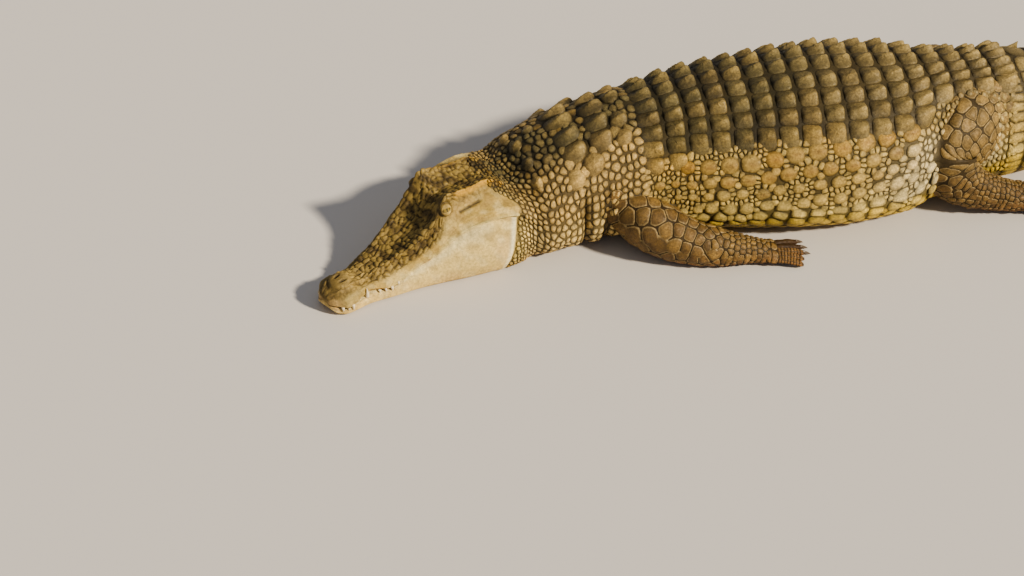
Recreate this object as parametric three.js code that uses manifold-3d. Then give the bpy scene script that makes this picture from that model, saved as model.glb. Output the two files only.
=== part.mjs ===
// A Nile crocodile lying on its belly, life-size, as a still museum model.
// Millimetres, +Z up, the floor at z = 0. The head points to -X, the tail to +X, and the
// animal's left side faces -Y. The origin is on the floor, under the middle of the belly.
// Places on the animal are given as (s, side, z): s runs along the spine from the snout tip
// to the tail tip, side is the distance from the spine towards the animal's left.
import * as THREE from "three";
import { mergeVertices } from "three/addons/utils/BufferGeometryUtils.js";
import Module from "manifold-3d";

const wasm = await Module();
wasm.setup();

// ---- Driving dimensions -------------------------------------------------------------
const TOTAL_LENGTH = 3500; // snout tip to tail tip, along the spine
const JAW_END = 535; // the jaw corners reach a little past the skull table
const NECK_END = 880; // the first row of back plates starts here
const TRUNK_END = 1850; // the hips
const TAIL_CUTS = [2400, 2950]; // where the tail is divided
const BELLY_MIDDLE = 1400; // the origin is under this place
const GAP = 0.5; // between neighbouring solids
const LIMB_GAP = 1; // between a limb and the body it lies against
const BACK_ROWS = 17; // cross rows of plates from shoulder to hip
const TAIL_WHORLS = 34; // rings of scales on the tail, each with its crest blades
const SINGLE_CREST_FROM = 18; // from this whorl on, the two crests are one

const radians = THREE.MathUtils.degToRad;
const FLOOR = 0;

// ---- Smooth tables --------------------------------------------------------------------
// A table is a list of rows [key, value, value ...]; this gives the values between the rows
// on a monotone cubic curve, so no bump or dip is added between two rows.
function smoothTable(rows) {
  const columns = rows[0].length - 1;
  const slopes = Array.from({ length: columns }, (_, c) => {
    const secant = rows.slice(1).map((r, i) => (r[c + 1] - rows[i][c + 1]) / (r[0] - rows[i][0]));
    return rows.map((_, i) => {
      if (i === 0) return secant[0];
      if (i === rows.length - 1) return secant[i - 1];
      const [a, b] = [secant[i - 1], secant[i]];
      return a * b <= 0 ? 0 : (2 * a * b) / (a + b);
    });
  });
  return (key) => {
    const at = Math.min(Math.max(key, rows[0][0]), rows[rows.length - 1][0]);
    let i = rows.length - 2;
    while (i > 0 && rows[i][0] > at) i -= 1;
    const h = rows[i + 1][0] - rows[i][0];
    const t = (at - rows[i][0]) / h;
    return Array.from({ length: columns }, (_, c) => {
      const [p, q] = [rows[i][c + 1], rows[i + 1][c + 1]];
      const [m, n] = [slopes[c][i] * h, slopes[c][i + 1] * h];
      const t2 = t * t;
      const t3 = t2 * t;
      return p * (2 * t3 - 3 * t2 + 1) + m * (t3 - 2 * t2 + t) + q * (3 * t2 - 2 * t3) + n * (t3 - t2);
    });
  };
}

// ---- Spine ------------------------------------------------------------------------------
// The direction of the spine in plan, in degrees from +X, at places along it.
const spineHeading = smoothTable([
  [0, 28],
  [500, 14],
  [880, -3],
  [1300, -8],
  [1850, 2],
  [2350, 14],
  [2900, 10],
  [3500, -12],
]);
const SPINE_STEP = 5;
const spineTrack = [new THREE.Vector2(0, 0)];
for (let s = 0; s < TOTAL_LENGTH; s += SPINE_STEP) {
  const angle = radians(spineHeading(s + SPINE_STEP / 2)[0]);
  const step = new THREE.Vector2(Math.cos(angle), Math.sin(angle)).multiplyScalar(SPINE_STEP);
  spineTrack.push(step.add(spineTrack[spineTrack.length - 1]));
}
const originOnTrack = spineTrack[BELLY_MIDDLE / SPINE_STEP].clone();

// The world point of a place (s, side, z). Places before the snout tip go on straight.
function place(s, side, z) {
  const index = Math.min(Math.max(s, 0), TOTAL_LENGTH) / SPINE_STEP;
  const low = Math.min(Math.floor(index), spineTrack.length - 2);
  const on = spineTrack[low].clone().lerp(spineTrack[low + 1], index - low).sub(originOnTrack);
  const angle = radians(spineHeading(s)[0]);
  const beyond = s - index * SPINE_STEP;
  return new THREE.Vector3(
    on.x + Math.cos(angle) * beyond + Math.sin(angle) * side,
    on.y + Math.sin(angle) * beyond - Math.cos(angle) * side,
    z,
  );
}

// ---- Solids from rings --------------------------------------------------------------------
function toManifold(geometry) {
  const merged = mergeVertices(geometry, 1e-4);
  const solid = new wasm.Manifold(
    new wasm.Mesh({
      numProp: 3,
      vertProperties: merged.attributes.position.array,
      triVerts: new Uint32Array(merged.index.array),
    }),
  );
  return solid;
}

// A closed solid through a list of rings of points, with a fan at each end.
function solidFromRings(rings) {
  const n = rings[0].length;
  const points = rings.flat();
  const triangles = [];
  for (let i = 0; i < rings.length - 1; i += 1)
    for (let j = 0; j < n; j += 1) {
      const a = i * n + j;
      const b = i * n + ((j + 1) % n);
      triangles.push(a, b, b + n, a, b + n, a + n);
    }
  for (const [first, turned] of [[0, true], [(rings.length - 1) * n, false]]) {
    const middle = points.length;
    const sum = new THREE.Vector3();
    for (let j = 0; j < n; j += 1) sum.add(points[first + j]);
    points.push(sum.divideScalar(n));
    for (let j = 0; j < n; j += 1) {
      const edge = [first + j, first + ((j + 1) % n)];
      triangles.push(middle, ...(turned ? edge.reverse() : edge));
    }
  }
  let volume = 0;
  for (let i = 0; i < triangles.length; i += 3) {
    const [a, b, c] = [points[triangles[i]], points[triangles[i + 1]], points[triangles[i + 2]]];
    volume += a.dot(b.clone().cross(c));
  }
  if (volume < 0) triangles.reverse();
  const geometry = new THREE.BufferGeometry().setFromPoints(points);
  geometry.setIndex(triangles);
  return toManifold(geometry);
}

const joined = (solids) => solids.reduce((all, next) => all.add(next));
const largestBody = (solid) => solid.decompose().reduce((a, b) => (b.volume() > a.volume() ? b : a));

// ---- Neck, trunk and tail sections ------------------------------------------------------
// s, half-width, height of the widest place, height of the back, fullness above, fullness below
const bodySection = smoothTable([
  [440, 80, 80, 130, 2.2, 2.4],
  [540, 160, 80, 186, 2.2, 2.6],
  [600, 188, 82, 224, 2.2, 2.6],
  [680, 190, 92, 263, 2.2, 2.6],
  [880, 194, 118, 319, 2.2, 2.6],
  [1100, 230, 130, 352, 2.25, 2.6],
  [1380, 260, 132, 365, 2.35, 2.7],
  [1540, 238, 134, 357, 2.35, 2.7],
  [1690, 160, 140, 346, 2.3, 2.5],
  [1850, 142, 140, 326, 2.3, 2.4],
  [2000, 130, 132, 290, 2.2, 2.4],
  [2350, 104, 112, 246, 2.1, 2.4],
  [2700, 74, 92, 196, 2.0, 2.3],
  [3050, 44, 66, 140, 2.0, 2.2],
  [3350, 20, 42, 84, 2.0, 2.0],
  [3500, 5, 18, 34, 2.0, 2.0],
]);
const UNDER_FLAT = 14; // the round belly would reach this far below the floor; it is flat instead

// One point of the body's outline at s. turn runs from 0 at the middle of the back to 0.5 at
// the left flank and 1 at the middle of the belly, and is negative on the right side.
function bodyPoint(s, turn, lift = 0, grow = 0) {
  const [half, wide, top, above, below] = bodySection(s);
  const angle = Math.abs(turn) * Math.PI;
  const upper = Math.abs(turn) <= 0.5;
  const power = 2 / (upper ? above : below);
  const out = Math.abs(Math.sin(angle)) ** power;
  const up = Math.abs(Math.cos(angle)) ** power;
  const height = upper ? top - wide : wide + UNDER_FLAT;
  const rise = (upper ? 1 : -1) * up * (height + grow);
  const slant = new THREE.Vector2(out * height, Math.abs(up) * half).normalize().multiplyScalar(lift);
  return place(
    s,
    Math.sign(turn) * (out * (half + grow) + slant.x),
    Math.max(FLOOR - grow, wide + rise + (upper ? slant.y : 0)),
  );
}

// The turns of one ring: plate columns on the back, then the flanks, then the belly.
const COLUMN_TURNS = [0.07, 0.19, 0.3]; // the keels of the three columns on each side
const COLUMN_EDGES = [0, 0.13, 0.25, 0.36];
const FLANK_TURNS = [0.43, 0.5, 0.58, 0.68, 0.78, 0.88]; // the last is the edge of the flat belly
const sideTurns = [
  ...COLUMN_TURNS.flatMap((keel, i) => [keel, COLUMN_EDGES[i + 1]]),
  ...FLANK_TURNS,
];
const ringTurns = [0, ...sideTurns, ...sideTurns.map((t) => -t).reverse()];
const isKeel = (turn) => COLUMN_TURNS.includes(Math.abs(turn));
const tailTurns = [0, 0.13, 0.3, 0.5, 0.68, 0.86, 1, -0.86, -0.68, -0.5, -0.3, -0.13];

function bodyRing(s, keelLift = 0, grow = 0, turns = ringTurns) {
  return turns.map((turn) => bodyPoint(s, turn, isKeel(turn) ? keelLift : 0, grow));
}

// Plain rings between two places, about every `step`.
function plainRings(from, to, step, grow = 0, turns = ringTurns) {
  const count = Math.max(1, Math.round((to - from) / step));
  const at = (i) => from + ((to - from) * i) / count;
  return Array.from({ length: count + 1 }, (_, i) => bodyRing(at(i), 0, grow, turns));
}

// ---- Trunk ----------------------------------------------------------------------------------
const ROW_LENGTH = (TRUNK_END - NECK_END) / BACK_ROWS;
const KEEL_HEIGHT = 15;
const KEEL_PEAK = 0.84; // where along its plate a keel is highest

function trunkRings(grow = 0) {
  const rings = [bodyRing(NECK_END + GAP, 0, grow)];
  for (let row = 0; row < BACK_ROWS; row += 1) {
    const start = NECK_END + row * ROW_LENGTH;
    if (row > 0) rings.push(bodyRing(start, 0, grow));
    rings.push(bodyRing(start + KEEL_PEAK * ROW_LENGTH, KEEL_HEIGHT, grow));
  }
  rings.push(bodyRing(TRUNK_END, 0, grow));
  return rings;
}

// ---- Plates and crest blades -----------------------------------------------------------------
// A raised plate on the body's outline: a low roof with its ridge along the body.
function plate(s, turn, length, halfTurn, height) {
  const sink = -8;
  const rim = 3;
  const corner = (along, across, lift) => bodyPoint(s + along * length, turn + across * halfTurn, lift);
  const outline = [[-0.5, 0], [-0.3, -0.9], [0.4, -0.9], [0.5, 0], [0.4, 0.9], [-0.3, 0.9]];
  const ring = (lift, size) => outline.map(([along, across]) => corner(along * size, across * size, lift));
  return solidFromRings([ring(sink, 1), ring(rim, 1), ring(height, 0.35)]);
}

// One blade of the tail's crest, standing on the tail at `side` and leaning back.
function crestBlade(s, side, length, height) {
  const [half, wide, top] = bodySection(s);
  const root = wide + (top - wide) * Math.sqrt(Math.max(0, 1 - (side / half) ** 2)) - 12;
  const lean = side * 0.12;
  const foot = 9;
  const edge = 2.5;
  const ring = (z, from, to, thick, outward) => [
    place(s + from, side + outward - thick, z),
    place(s + to, side + outward - thick * 0.5, z),
    place(s + to, side + outward + thick * 0.5, z),
    place(s + from, side + outward + thick, z),
  ];
  return solidFromRings([
    ring(root, 0, length, foot, 0),
    ring(root + 12 + height, length * 0.66, length * 0.95, edge, lean),
  ]);
}

// ---- Neck ---------------------------------------------------------------------------------------
const neckRings = (grow = 0) => plainRings(470, NECK_END, 58, grow);

function makeNeck() {
  const body = solidFromRings(neckRings());
  // Two rows of two large plates with a smaller one beside the first row, and behind the
  // skull a row of four small ones.
  const nape = [
    ...[-0.2, -0.07, 0.07, 0.2].map((turn) => plate(590, turn, 34, 0.05, 10)),
    ...[-0.09, 0.09].map((turn) => plate(705, turn, 72, 0.078, 20)),
    ...[-0.085, 0.085].map((turn) => plate(785, turn, 70, 0.074, 18)),
    ...[-0.235, 0.235].map((turn) => plate(735, turn, 60, 0.05, 15)),
  ];
  return joined([body, ...nape]);
}

// ---- Tail -----------------------------------------------------------------------------------------
const WHORL_START = TRUNK_END + 20;
const WHORL_SHRINK = 0.985; // each whorl is a little shorter than the one before it
const whorlSum = (1 - WHORL_SHRINK ** TAIL_WHORLS) / (1 - WHORL_SHRINK);
const firstWhorl = (TOTAL_LENGTH - 30 - WHORL_START) / whorlSum;
// s, sideways place of the double crest, height of the crest
const crestShape = smoothTable([
  [1850, 62, 16],
  [2150, 54, 30],
  [2450, 36, 48],
  [2680, 16, 58],
  [2800, 0, 62],
  [3150, 0, 52],
  [3500, 0, 16],
]);

function tailWhorls() {
  const whorls = [];
  let s = WHORL_START;
  for (let i = 0; i < TAIL_WHORLS; i += 1) {
    const length = firstWhorl * WHORL_SHRINK ** i;
    whorls.push({ s, length, single: i >= SINGLE_CREST_FROM });
    s += length;
  }
  return whorls;
}

function makeTailPiece(from, to) {
  const body = solidFromRings(plainRings(from + GAP, to, 80, 0, tailTurns));
  const blades = [];
  for (const { s, length, single } of tailWhorls()) {
    if (s < from || s + length > to) continue;
    const [side, height] = crestShape(s + length / 2);
    const sides = single ? [0] : [side, -side];
    for (const at of sides) blades.push(crestBlade(s, at, length * 0.93, height));
  }
  return joined([body, ...blades]);
}

// ---- Head -------------------------------------------------------------------------------------------
// s, lip half-width, lip height, cheek half-width, cheek height, brow half-width, brow height,
// height of the middle
const headSection = smoothTable([
  [3, 28, 24, 25, 38, 12, 46, 47],
  [16, 42, 22, 42, 44, 24, 60, 62],
  [40, 54, 20, 52, 48, 28, 72, 74],
  [62, 53, 24, 51, 50, 30, 74, 77],
  [98, 46, 31, 46, 52, 28, 68, 68],
  [165, 66, 26, 62, 60, 36, 86, 80],
  [200, 68, 40, 66, 72, 44, 100, 90],
  [235, 76, 60, 76, 88, 56, 116, 102],
  [300, 96, 98, 92, 126, 66, 168, 138],
  [345, 108, 134, 96, 158, 61, 232, 188],
  [410, 126, 158, 112, 176, 56, 222, 206],
  [460, 138, 162, 122, 180, 52, 226, 210],
  [535, 146, 152, 130, 170, 56, 184, 186],
]);
// s, half-width at the floor, widest half-width, height of the widest place
const jawSection = smoothTable([
  [8, 22, 32, 12],
  [22, 38, 46, 12],
  [45, 46, 53, 12],
  [98, 53, 56, 16],
  [165, 69, 72, 14],
  [235, 84, 90, 20],
  [300, 102, 112, 30],
  [380, 124, 139, 44],
  [460, 136, 158, 58],
  [535, 138, 158, 68],
]);
const MOUTH_GAP = 0.5;
const HEAD_STATIONS = [
  3, 16, 40, 62, 80, 98, 128, 165, 200, 235, 268, 300, 318, 340, 372, 410, 440, 470, 500, JAW_END,
];

// The wall between cheek and brow, where the eye and the ear flap sit.
function wallPoint(s) {
  const [, , cheekW, cheekZ, browW, browZ] = headSection(s);
  return [browW * 0.84 + cheekW * 0.16, cheekZ * 0.42 + browZ * 0.58];
}

function skullRing(s, grow = 0) {
  const [lipW, lipZ, cheekW, cheekZ, browW, browZ, midZ] = headSection(s);
  const side = [
    [lipW * 0.55, lipZ],
    [lipW, lipZ],
    [(lipW + cheekW) * 0.51, (lipZ + cheekZ) / 2],
    [cheekW, cheekZ],
    wallPoint(s),
    [browW, browZ],
    [browW * 0.55, browZ * 0.5 + midZ * 0.5],
  ];
  const left = side.map(([w, z], i) => place(s, w + grow, i < 2 ? z - grow : z + grow));
  const right = side.map(([w, z], i) => place(s, -w - grow, i < 2 ? z - grow : z + grow)).reverse();
  return [...left, place(s, 0, midZ + grow), ...right];
}

function jawRing(s, grow = 0) {
  const [, lipZ] = headSection(s);
  const [floorW, wideW, wideZ] = jawSection(s);
  const top = lipZ - MOUTH_GAP;
  const lipHalf = Math.min(headSection(s)[0] - 3, wideW);
  const middleZ = (wideZ + top) / 2;
  const side = [
    [lipHalf * 0.55, top],
    [lipHalf, top],
    [(wideW + lipHalf) / 2, middleZ],
    [wideW, wideZ],
    [(wideW + floorW) / 2 + 4, wideZ * 0.3],
    [floorW, FLOOR],
  ];
  const left = side.map(([w, z]) => place(s, w + grow, z));
  const right = side.map(([w, z]) => place(s, -w - grow, z)).reverse();
  return [...left, ...right];
}

// A tooth: a cone with its root in the jaw.
function tooth(s, side, rootZ, tipZ, radius) {
  const sides = 5;
  const ring = (z, r) =>
    Array.from({ length: sides }, (_, i) => {
      const angle = (i / sides) * 2 * Math.PI;
      return place(s + r * Math.cos(angle), side + r * Math.sin(angle), z);
    });
  return solidFromRings([ring(rootZ, radius), ring(tipZ, radius * 0.2)]);
}

// Eyes: a ball in each socket, with a third of it standing out of the wall.
const EYE_STATION = 334;
const EYE_RADIUS = 17;
const eyeWall = wallPoint(EYE_STATION);
const EYE = { s: EYE_STATION, side: eyeWall[0] - EYE_RADIUS * 0.35, z: eyeWall[1] - 2, radius: EYE_RADIUS };
function ball({ s, side, z, radius }, grow = 0) {
  const sphere = new THREE.SphereGeometry(radius + grow, 12, 7);
  sphere.deleteAttribute("normal");
  sphere.deleteAttribute("uv");
  const centre = place(s, side, z);
  sphere.translate(centre.x, centre.y, centre.z);
  return toManifold(sphere);
}
const SOCKET_GAP = 0.5;

// Ear flaps: a long thin lid along the side of the skull table, behind each eye.
const EAR = { from: 372, to: 452, above: 8, height: 18, thick: 9 };
function earFlap(mirror, grow = 0) {
  const steps = 5;
  const rings = Array.from({ length: steps + 1 }, (_, i) => {
    const t = i / steps;
    const fullness = 0.35 + 0.65 * Math.sin(Math.PI * (0.1 + 0.8 * t));
    const s = EAR.from - grow + (EAR.to - EAR.from + 2 * grow) * t;
    const [side, z] = wallPoint(s);
    const [w, h] = [(EAR.thick * fullness) / 2 + grow, (EAR.height * fullness) / 2 + grow];
    return [[-w, -h], [w, -h], [w * 1.2, 0], [w * 0.6, h], [-w, h]].map(([dw, dz]) =>
      place(s, mirror * (side + dw), z + EAR.above + dz),
    );
  });
  return solidFromRings(rings);
}

const eyes = { left: ball(EYE), right: ball({ ...EYE, side: -EYE.side }) };
const ears = { left: earFlap(1), right: earFlap(-1) };

function makeSkull() {
  const shape = solidFromRings(HEAD_STATIONS.map((s) => skullRing(s)));
  const upperTeeth = [1, -1].flatMap((side) => [
    tooth(24, side * 45, 28, 12, 4.5),
    tooth(50, side * 53, 28, 8, 5),
    tooth(165, side * 65, 32, 12, 5.5),
  ]);
  let skull = joined([shape, ...upperTeeth]);
  for (const side of [1, -1]) {
    skull = skull.subtract(ball({ ...EYE, side: side * EYE.side }, SOCKET_GAP));
    skull = skull.subtract(earFlap(side, SOCKET_GAP));
  }
  return skull;
}

function makeJaw(skull) {
  const shape = solidFromRings([8, ...HEAD_STATIONS.slice(1)].map((s) => jawRing(s)));
  const fourthTeeth = [1, -1].map((side) => tooth(99, side * 48, 22, 52, 6));
  return joined([shape, ...fourthTeeth]).subtract(skull);
}

// ---- Limbs --------------------------------------------------------------------------------------------
// A limb is a list of stations [s, side, z, half-width, half-thickness]; rings stand square
// to the line through them. Nothing reaches below the floor.
const RING_SIDES = 10;
const curveOf = (stations) =>
  new THREE.CatmullRomCurve3(stations.map(([s, side, z]) => place(s, side, z)), false, "centripetal");

function limbRing(curve, sizes, t, shift = 0) {
  const centre = curve.getPoint(t);
  const along = curve.getTangent(t).normalize();
  const across = new THREE.Vector3().crossVectors(along, new THREE.Vector3(0, 0, 1)).normalize();
  const upward = new THREE.Vector3().crossVectors(across, along).normalize();
  const [half, thick] = sizes(t);
  return Array.from({ length: RING_SIDES }, (_, i) => {
    const angle = (i / RING_SIDES) * 2 * Math.PI;
    const point = centre
      .clone()
      .addScaledVector(across, half * Math.cos(angle))
      .addScaledVector(upward, thick * Math.sin(angle))
      .addScaledVector(along, shift);
    point.z = Math.max(FLOOR, point.z);
    return point;
  });
}

// The named lengths of one limb: cuts are the stations where one length ends and the next starts.
function limbLengths(stations, cuts, ringsPerLength) {
  const curve = curveOf(stations);
  const last = stations.length - 1;
  const sizes = smoothTable(stations.map(([, , , half, thick], i) => [i / last, half, thick]));
  const ends = [0, ...cuts, last].map((i) => i / last);
  const length = (i, grow) => {
    const [from, to] = [ends[i], ends[i + 1]];
    const grownSizes = (t) => sizes(t).map((size) => size + grow);
    const rings = Array.from({ length: ringsPerLength + 1 }, (_, k) => {
      const shift = { 0: -grow, [ringsPerLength]: grow }[k] ?? 0;
      return limbRing(curve, grownSizes, from + ((to - from) * k) / ringsPerLength, shift);
    });
    return solidFromRings(rings);
  };
  const lengths = [length(0, 0)];
  for (let i = 1; i < ends.length - 1; i += 1) {
    const before = length(i - 1, GAP).add(lengths[i - 1]);
    lengths.push(largestBody(length(i, 0).subtract(before)));
  }
  return lengths;
}

// A toe with its claw: a tapering rod from the foot to the tip, lying on the floor.
function toe(from, to, thick, clawLength) {
  const start = place(...from);
  const end = place(...to);
  const along = end.clone().sub(start).normalize();
  const across = new THREE.Vector3().crossVectors(along, new THREE.Vector3(0, 0, 1)).normalize();
  const upward = new THREE.Vector3().crossVectors(across, along).normalize();
  const length = start.distanceTo(end);
  const sides = 5;
  const ring = (distance, radius, rise) =>
    Array.from({ length: sides }, (_, i) => {
      const angle = (i / sides) * 2 * Math.PI;
      const point = start
        .clone()
        .addScaledVector(along, distance)
        .addScaledVector(across, radius * Math.cos(angle))
        .addScaledVector(upward, radius * 0.8 * Math.sin(angle) + rise);
      point.z = Math.max(FLOOR, point.z);
      return point;
    });
  const rings = [ring(0, thick, 0), ring(length, thick * 0.75, 0)];
  if (clawLength > 0) rings.push(ring(length + clawLength, thick * 0.15, -2));
  return solidFromRings(rings);
}

const CLAWED_TOES = 3; // the inner three toes carry claws

// The toes of one foot fan out from its end. inner is the side of the first toe.
const HAND = { reach: 92, spread: 54, fan: 92, thick: 11, claw: 18, count: 5 };
const FOOT = { reach: 122, spread: 70, fan: 130, thick: 13, claw: 22, count: 4 };
function withToes(foot, { root, inner, kind: { reach, spread, fan, thick, claw, count } }) {
  const toes = Array.from({ length: count }, (_, i) => {
    const across = (i / (count - 1) - 0.5) * inner;
    const length = reach * (1 - 0.28 * Math.abs(i / (count - 1) - 0.42));
    const from = [root[0], root[1] + across * spread, root[2]];
    const to = [root[0] + length, root[1] + across * fan, thick * 0.8];
    return toe(from, to, thick, i < CLAWED_TOES ? claw : 0);
  });
  return joined([foot, ...toes]);
}

const limbs = {
  foreleg_left: {
    names: ["upper_arm_left", "forearm_left", "hand_left"],
    stations: [
      [810, 120, 124, 60, 64],
      [885, 210, 88, 64, 72],
      [985, 262, 58, 56, 60],
      [1075, 284, 44, 46, 46],
      [1150, 292, 34, 36, 32],
      [1208, 292, 24, 42, 20],
    ],
    cuts: [2, 4],
    toes: { root: [1195, 292, 20], inner: 1, kind: HAND },
  },
  foreleg_right: {
    names: ["upper_arm_right", "forearm_right", "hand_right"],
    stations: [
      [800, -120, 130, 60, 64],
      [878, -205, 98, 62, 68],
      [985, -252, 62, 54, 60],
      [1078, -276, 46, 44, 46],
      [1156, -292, 34, 34, 32],
      [1210, -302, 24, 42, 20],
    ],
    cuts: [2, 4],
    toes: { root: [1197, -300, 20], inner: -1, kind: HAND },
  },
  hindleg_left: {
    names: ["thigh_left", "shank_left", "foot_left"],
    stations: [
      [1800, 30, 206, 92, 100],
      [1714, 98, 184, 92, 114],
      [1664, 152, 131, 64, 95],
      [1702, 184, 84, 48, 64],
      [1788, 206, 48, 42, 44],
      [1880, 226, 28, 50, 26],
    ],
    cuts: [2, 4],
    toes: { root: [1868, 223, 22], inner: -1, kind: FOOT },
  },
  hindleg_right: {
    names: ["thigh_right", "shank_right", "foot_right"],
    stations: [
      [1800, -30, 206, 92, 100],
      [1718, -98, 184, 92, 114],
      [1672, -154, 131, 64, 95],
      [1716, -192, 84, 48, 64],
      [1804, -218, 48, 42, 44],
      [1896, -242, 28, 50, 26],
    ],
    cuts: [2, 4],
    toes: { root: [1884, -239, 22], inner: 1, kind: FOOT },
  },
};

// ---- Assembly -----------------------------------------------------------------------------------------
const hideBrown = new THREE.MeshStandardMaterial({ color: 0x8f7a4e, roughness: 0.75, metalness: 0 });
const headTan = new THREE.MeshStandardMaterial({ color: 0xb9a67c, roughness: 0.7, metalness: 0 });
const legBrown = new THREE.MeshStandardMaterial({ color: 0x7c5a34, roughness: 0.8, metalness: 0 });
const eyeDark = new THREE.MeshStandardMaterial({ color: 0x2a2214, roughness: 0.15, metalness: 0 });

const crocodile = new THREE.Group();

function addNode(name, solid, material) {
  const { numProp, vertProperties, triVerts } = solid.getMesh();
  const positions = new Float32Array((vertProperties.length / numProp) * 3);
  for (let i = 0; i < positions.length / 3; i += 1)
    positions.set(vertProperties.subarray(i * numProp, i * numProp + 3), i * 3);
  const geometry = new THREE.BufferGeometry();
  geometry.setAttribute("position", new THREE.BufferAttribute(positions, 3));
  geometry.setIndex(new THREE.BufferAttribute(triVerts, 1));
  geometry.computeVertexNormals();
  const mesh = new THREE.Mesh(geometry, material);
  mesh.name = name;
  crocodile.add(mesh);
}

const skull = makeSkull();
const jaw = makeJaw(skull);
// Everything that lies against the head or the trunk is cut back to a thin gap from it.
const headBack = [...HEAD_STATIONS.slice(-6), JAW_END + GAP];
const headSpace = joined([
  solidFromRings(headBack.map((s) => skullRing(s, GAP))),
  solidFromRings(headBack.map((s) => jawRing(s, GAP))),
]);
const tailEnds = [TRUNK_END, ...TAIL_CUTS, TOTAL_LENGTH];
const bodySpace = solidFromRings([
  ...neckRings(LIMB_GAP),
  ...trunkRings(LIMB_GAP),
  ...plainRings(TRUNK_END + GAP, TAIL_CUTS[0], 80, LIMB_GAP),
]);

addNode("skull", skull, headTan);
addNode("lower_jaw", jaw, headTan);
addNode("eye_left", eyes.left, eyeDark);
addNode("eye_right", eyes.right, eyeDark);
addNode("ear_flap_left", ears.left, headTan);
addNode("ear_flap_right", ears.right, headTan);
addNode("neck", largestBody(makeNeck().subtract(headSpace)), hideBrown);
addNode("trunk", solidFromRings(trunkRings()), hideBrown);
["tail_base", "tail_middle", "tail_tip"].forEach((name, i) =>
  addNode(name, makeTailPiece(tailEnds[i], tailEnds[i + 1]), hideBrown),
);
for (const { names, stations, cuts, toes } of Object.values(limbs)) {
  const lengths = limbLengths(stations, cuts, 4).map((solid) => largestBody(solid.subtract(bodySpace)));
  lengths[2] = withToes(lengths[2], toes);
  names.forEach((name, i) => addNode(name, lengths[i], legBrown));
}

export default crocodile;
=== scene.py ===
import math
import bpy
import numpy as np
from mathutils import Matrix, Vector
from mathutils.bvhtree import BVHTree
from mathutils.kdtree import KDTree


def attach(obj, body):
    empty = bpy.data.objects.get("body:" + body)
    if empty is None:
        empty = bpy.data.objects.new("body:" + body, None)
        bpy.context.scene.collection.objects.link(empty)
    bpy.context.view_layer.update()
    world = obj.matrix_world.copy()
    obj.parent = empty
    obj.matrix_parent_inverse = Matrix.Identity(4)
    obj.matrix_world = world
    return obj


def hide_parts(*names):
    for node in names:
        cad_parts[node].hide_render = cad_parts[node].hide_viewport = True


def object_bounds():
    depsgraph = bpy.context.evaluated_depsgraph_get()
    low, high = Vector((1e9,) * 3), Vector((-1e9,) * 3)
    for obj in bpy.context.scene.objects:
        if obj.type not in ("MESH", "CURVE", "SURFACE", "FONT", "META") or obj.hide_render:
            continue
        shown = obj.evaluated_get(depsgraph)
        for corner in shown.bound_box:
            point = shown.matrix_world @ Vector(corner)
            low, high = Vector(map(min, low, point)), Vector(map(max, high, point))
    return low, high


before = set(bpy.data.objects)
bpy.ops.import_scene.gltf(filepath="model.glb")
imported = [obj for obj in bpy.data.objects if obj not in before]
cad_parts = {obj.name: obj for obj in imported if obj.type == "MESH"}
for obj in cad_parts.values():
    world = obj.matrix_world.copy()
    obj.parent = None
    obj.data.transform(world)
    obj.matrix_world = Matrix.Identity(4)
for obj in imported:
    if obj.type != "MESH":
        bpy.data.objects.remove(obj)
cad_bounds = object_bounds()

# Camera
# A long lens a few metres off the animal's left shoulder, looking down at it; the hips and
# the tail run out of the right-hand edge of the view.
camera_azimuth, camera_elevation = math.radians(-16.1), math.radians(39.2)
camera_target, camera_distance = Vector((-0.8917, -0.193, 0.0)), 7.715
camera_back = Vector((math.sin(camera_azimuth) * math.cos(camera_elevation),
                      -math.cos(camera_azimuth) * math.cos(camera_elevation),
                      math.sin(camera_elevation)))
camera_data = bpy.data.cameras.new("camera")
camera_data.lens = 110
camera_data.sensor_width = 36
camera_data.clip_end = 100
camera = bpy.data.objects.new("camera", camera_data)
camera.location = camera_target + camera_back * camera_distance
camera.rotation_euler = (math.pi / 2 - camera_elevation, 0, camera_azimuth)
bpy.context.scene.collection.objects.link(camera)
bpy.context.scene.camera = camera

# Body outline
# The spine's course on the floor and the cross-sections of head, neck, trunk and tail, in
# millimetres along the spine from the snout tip; everything that is built follows them.
def smooth_table(rows):
    rows = np.array(rows, float)
    keys, values = rows[:, 0], rows[:, 1:]
    secant = np.diff(values, axis=0) / np.diff(keys)[:, None]
    slope = np.zeros_like(values)
    slope[0], slope[-1] = secant[0], secant[-1]
    a, b = secant[:-1], secant[1:]
    same = a * b > 0
    slope[1:-1] = np.where(same, 2 * a * b / np.where(same, a + b, 1), 0)

    def at(key):
        key = np.clip(np.asarray(key, float), keys[0], keys[-1])
        i = np.clip(np.searchsorted(keys, key, side="right") - 1, 0, len(keys) - 2)
        h = (keys[i + 1] - keys[i])[..., None]
        t = (key - keys[i])[..., None] / h
        p, q, m, n = values[i], values[i + 1], slope[i] * h, slope[i + 1] * h
        return (p * (2 * t**3 - 3 * t**2 + 1) + m * (t**3 - 2 * t**2 + t)
                + q * (3 * t**2 - 2 * t**3) + n * (t**3 - t**2))
    return at

spine_heading = smooth_table([[0, 28], [500, 14], [880, -3], [1300, -8], [1850, 2],
                              [2350, 14], [2900, 10], [3500, -12]])
track_pitch, middle_station = 5.0, 280
track_s = np.arange(0, 3501, track_pitch)
track_angle = np.radians(spine_heading(track_s[:-1] + track_pitch / 2)[:, 0])
track_steps = np.stack([np.cos(track_angle), np.sin(track_angle)], 1) * track_pitch
track = np.vstack([[0, 0], np.cumsum(track_steps, 0)])
track -= track[middle_station]

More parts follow.
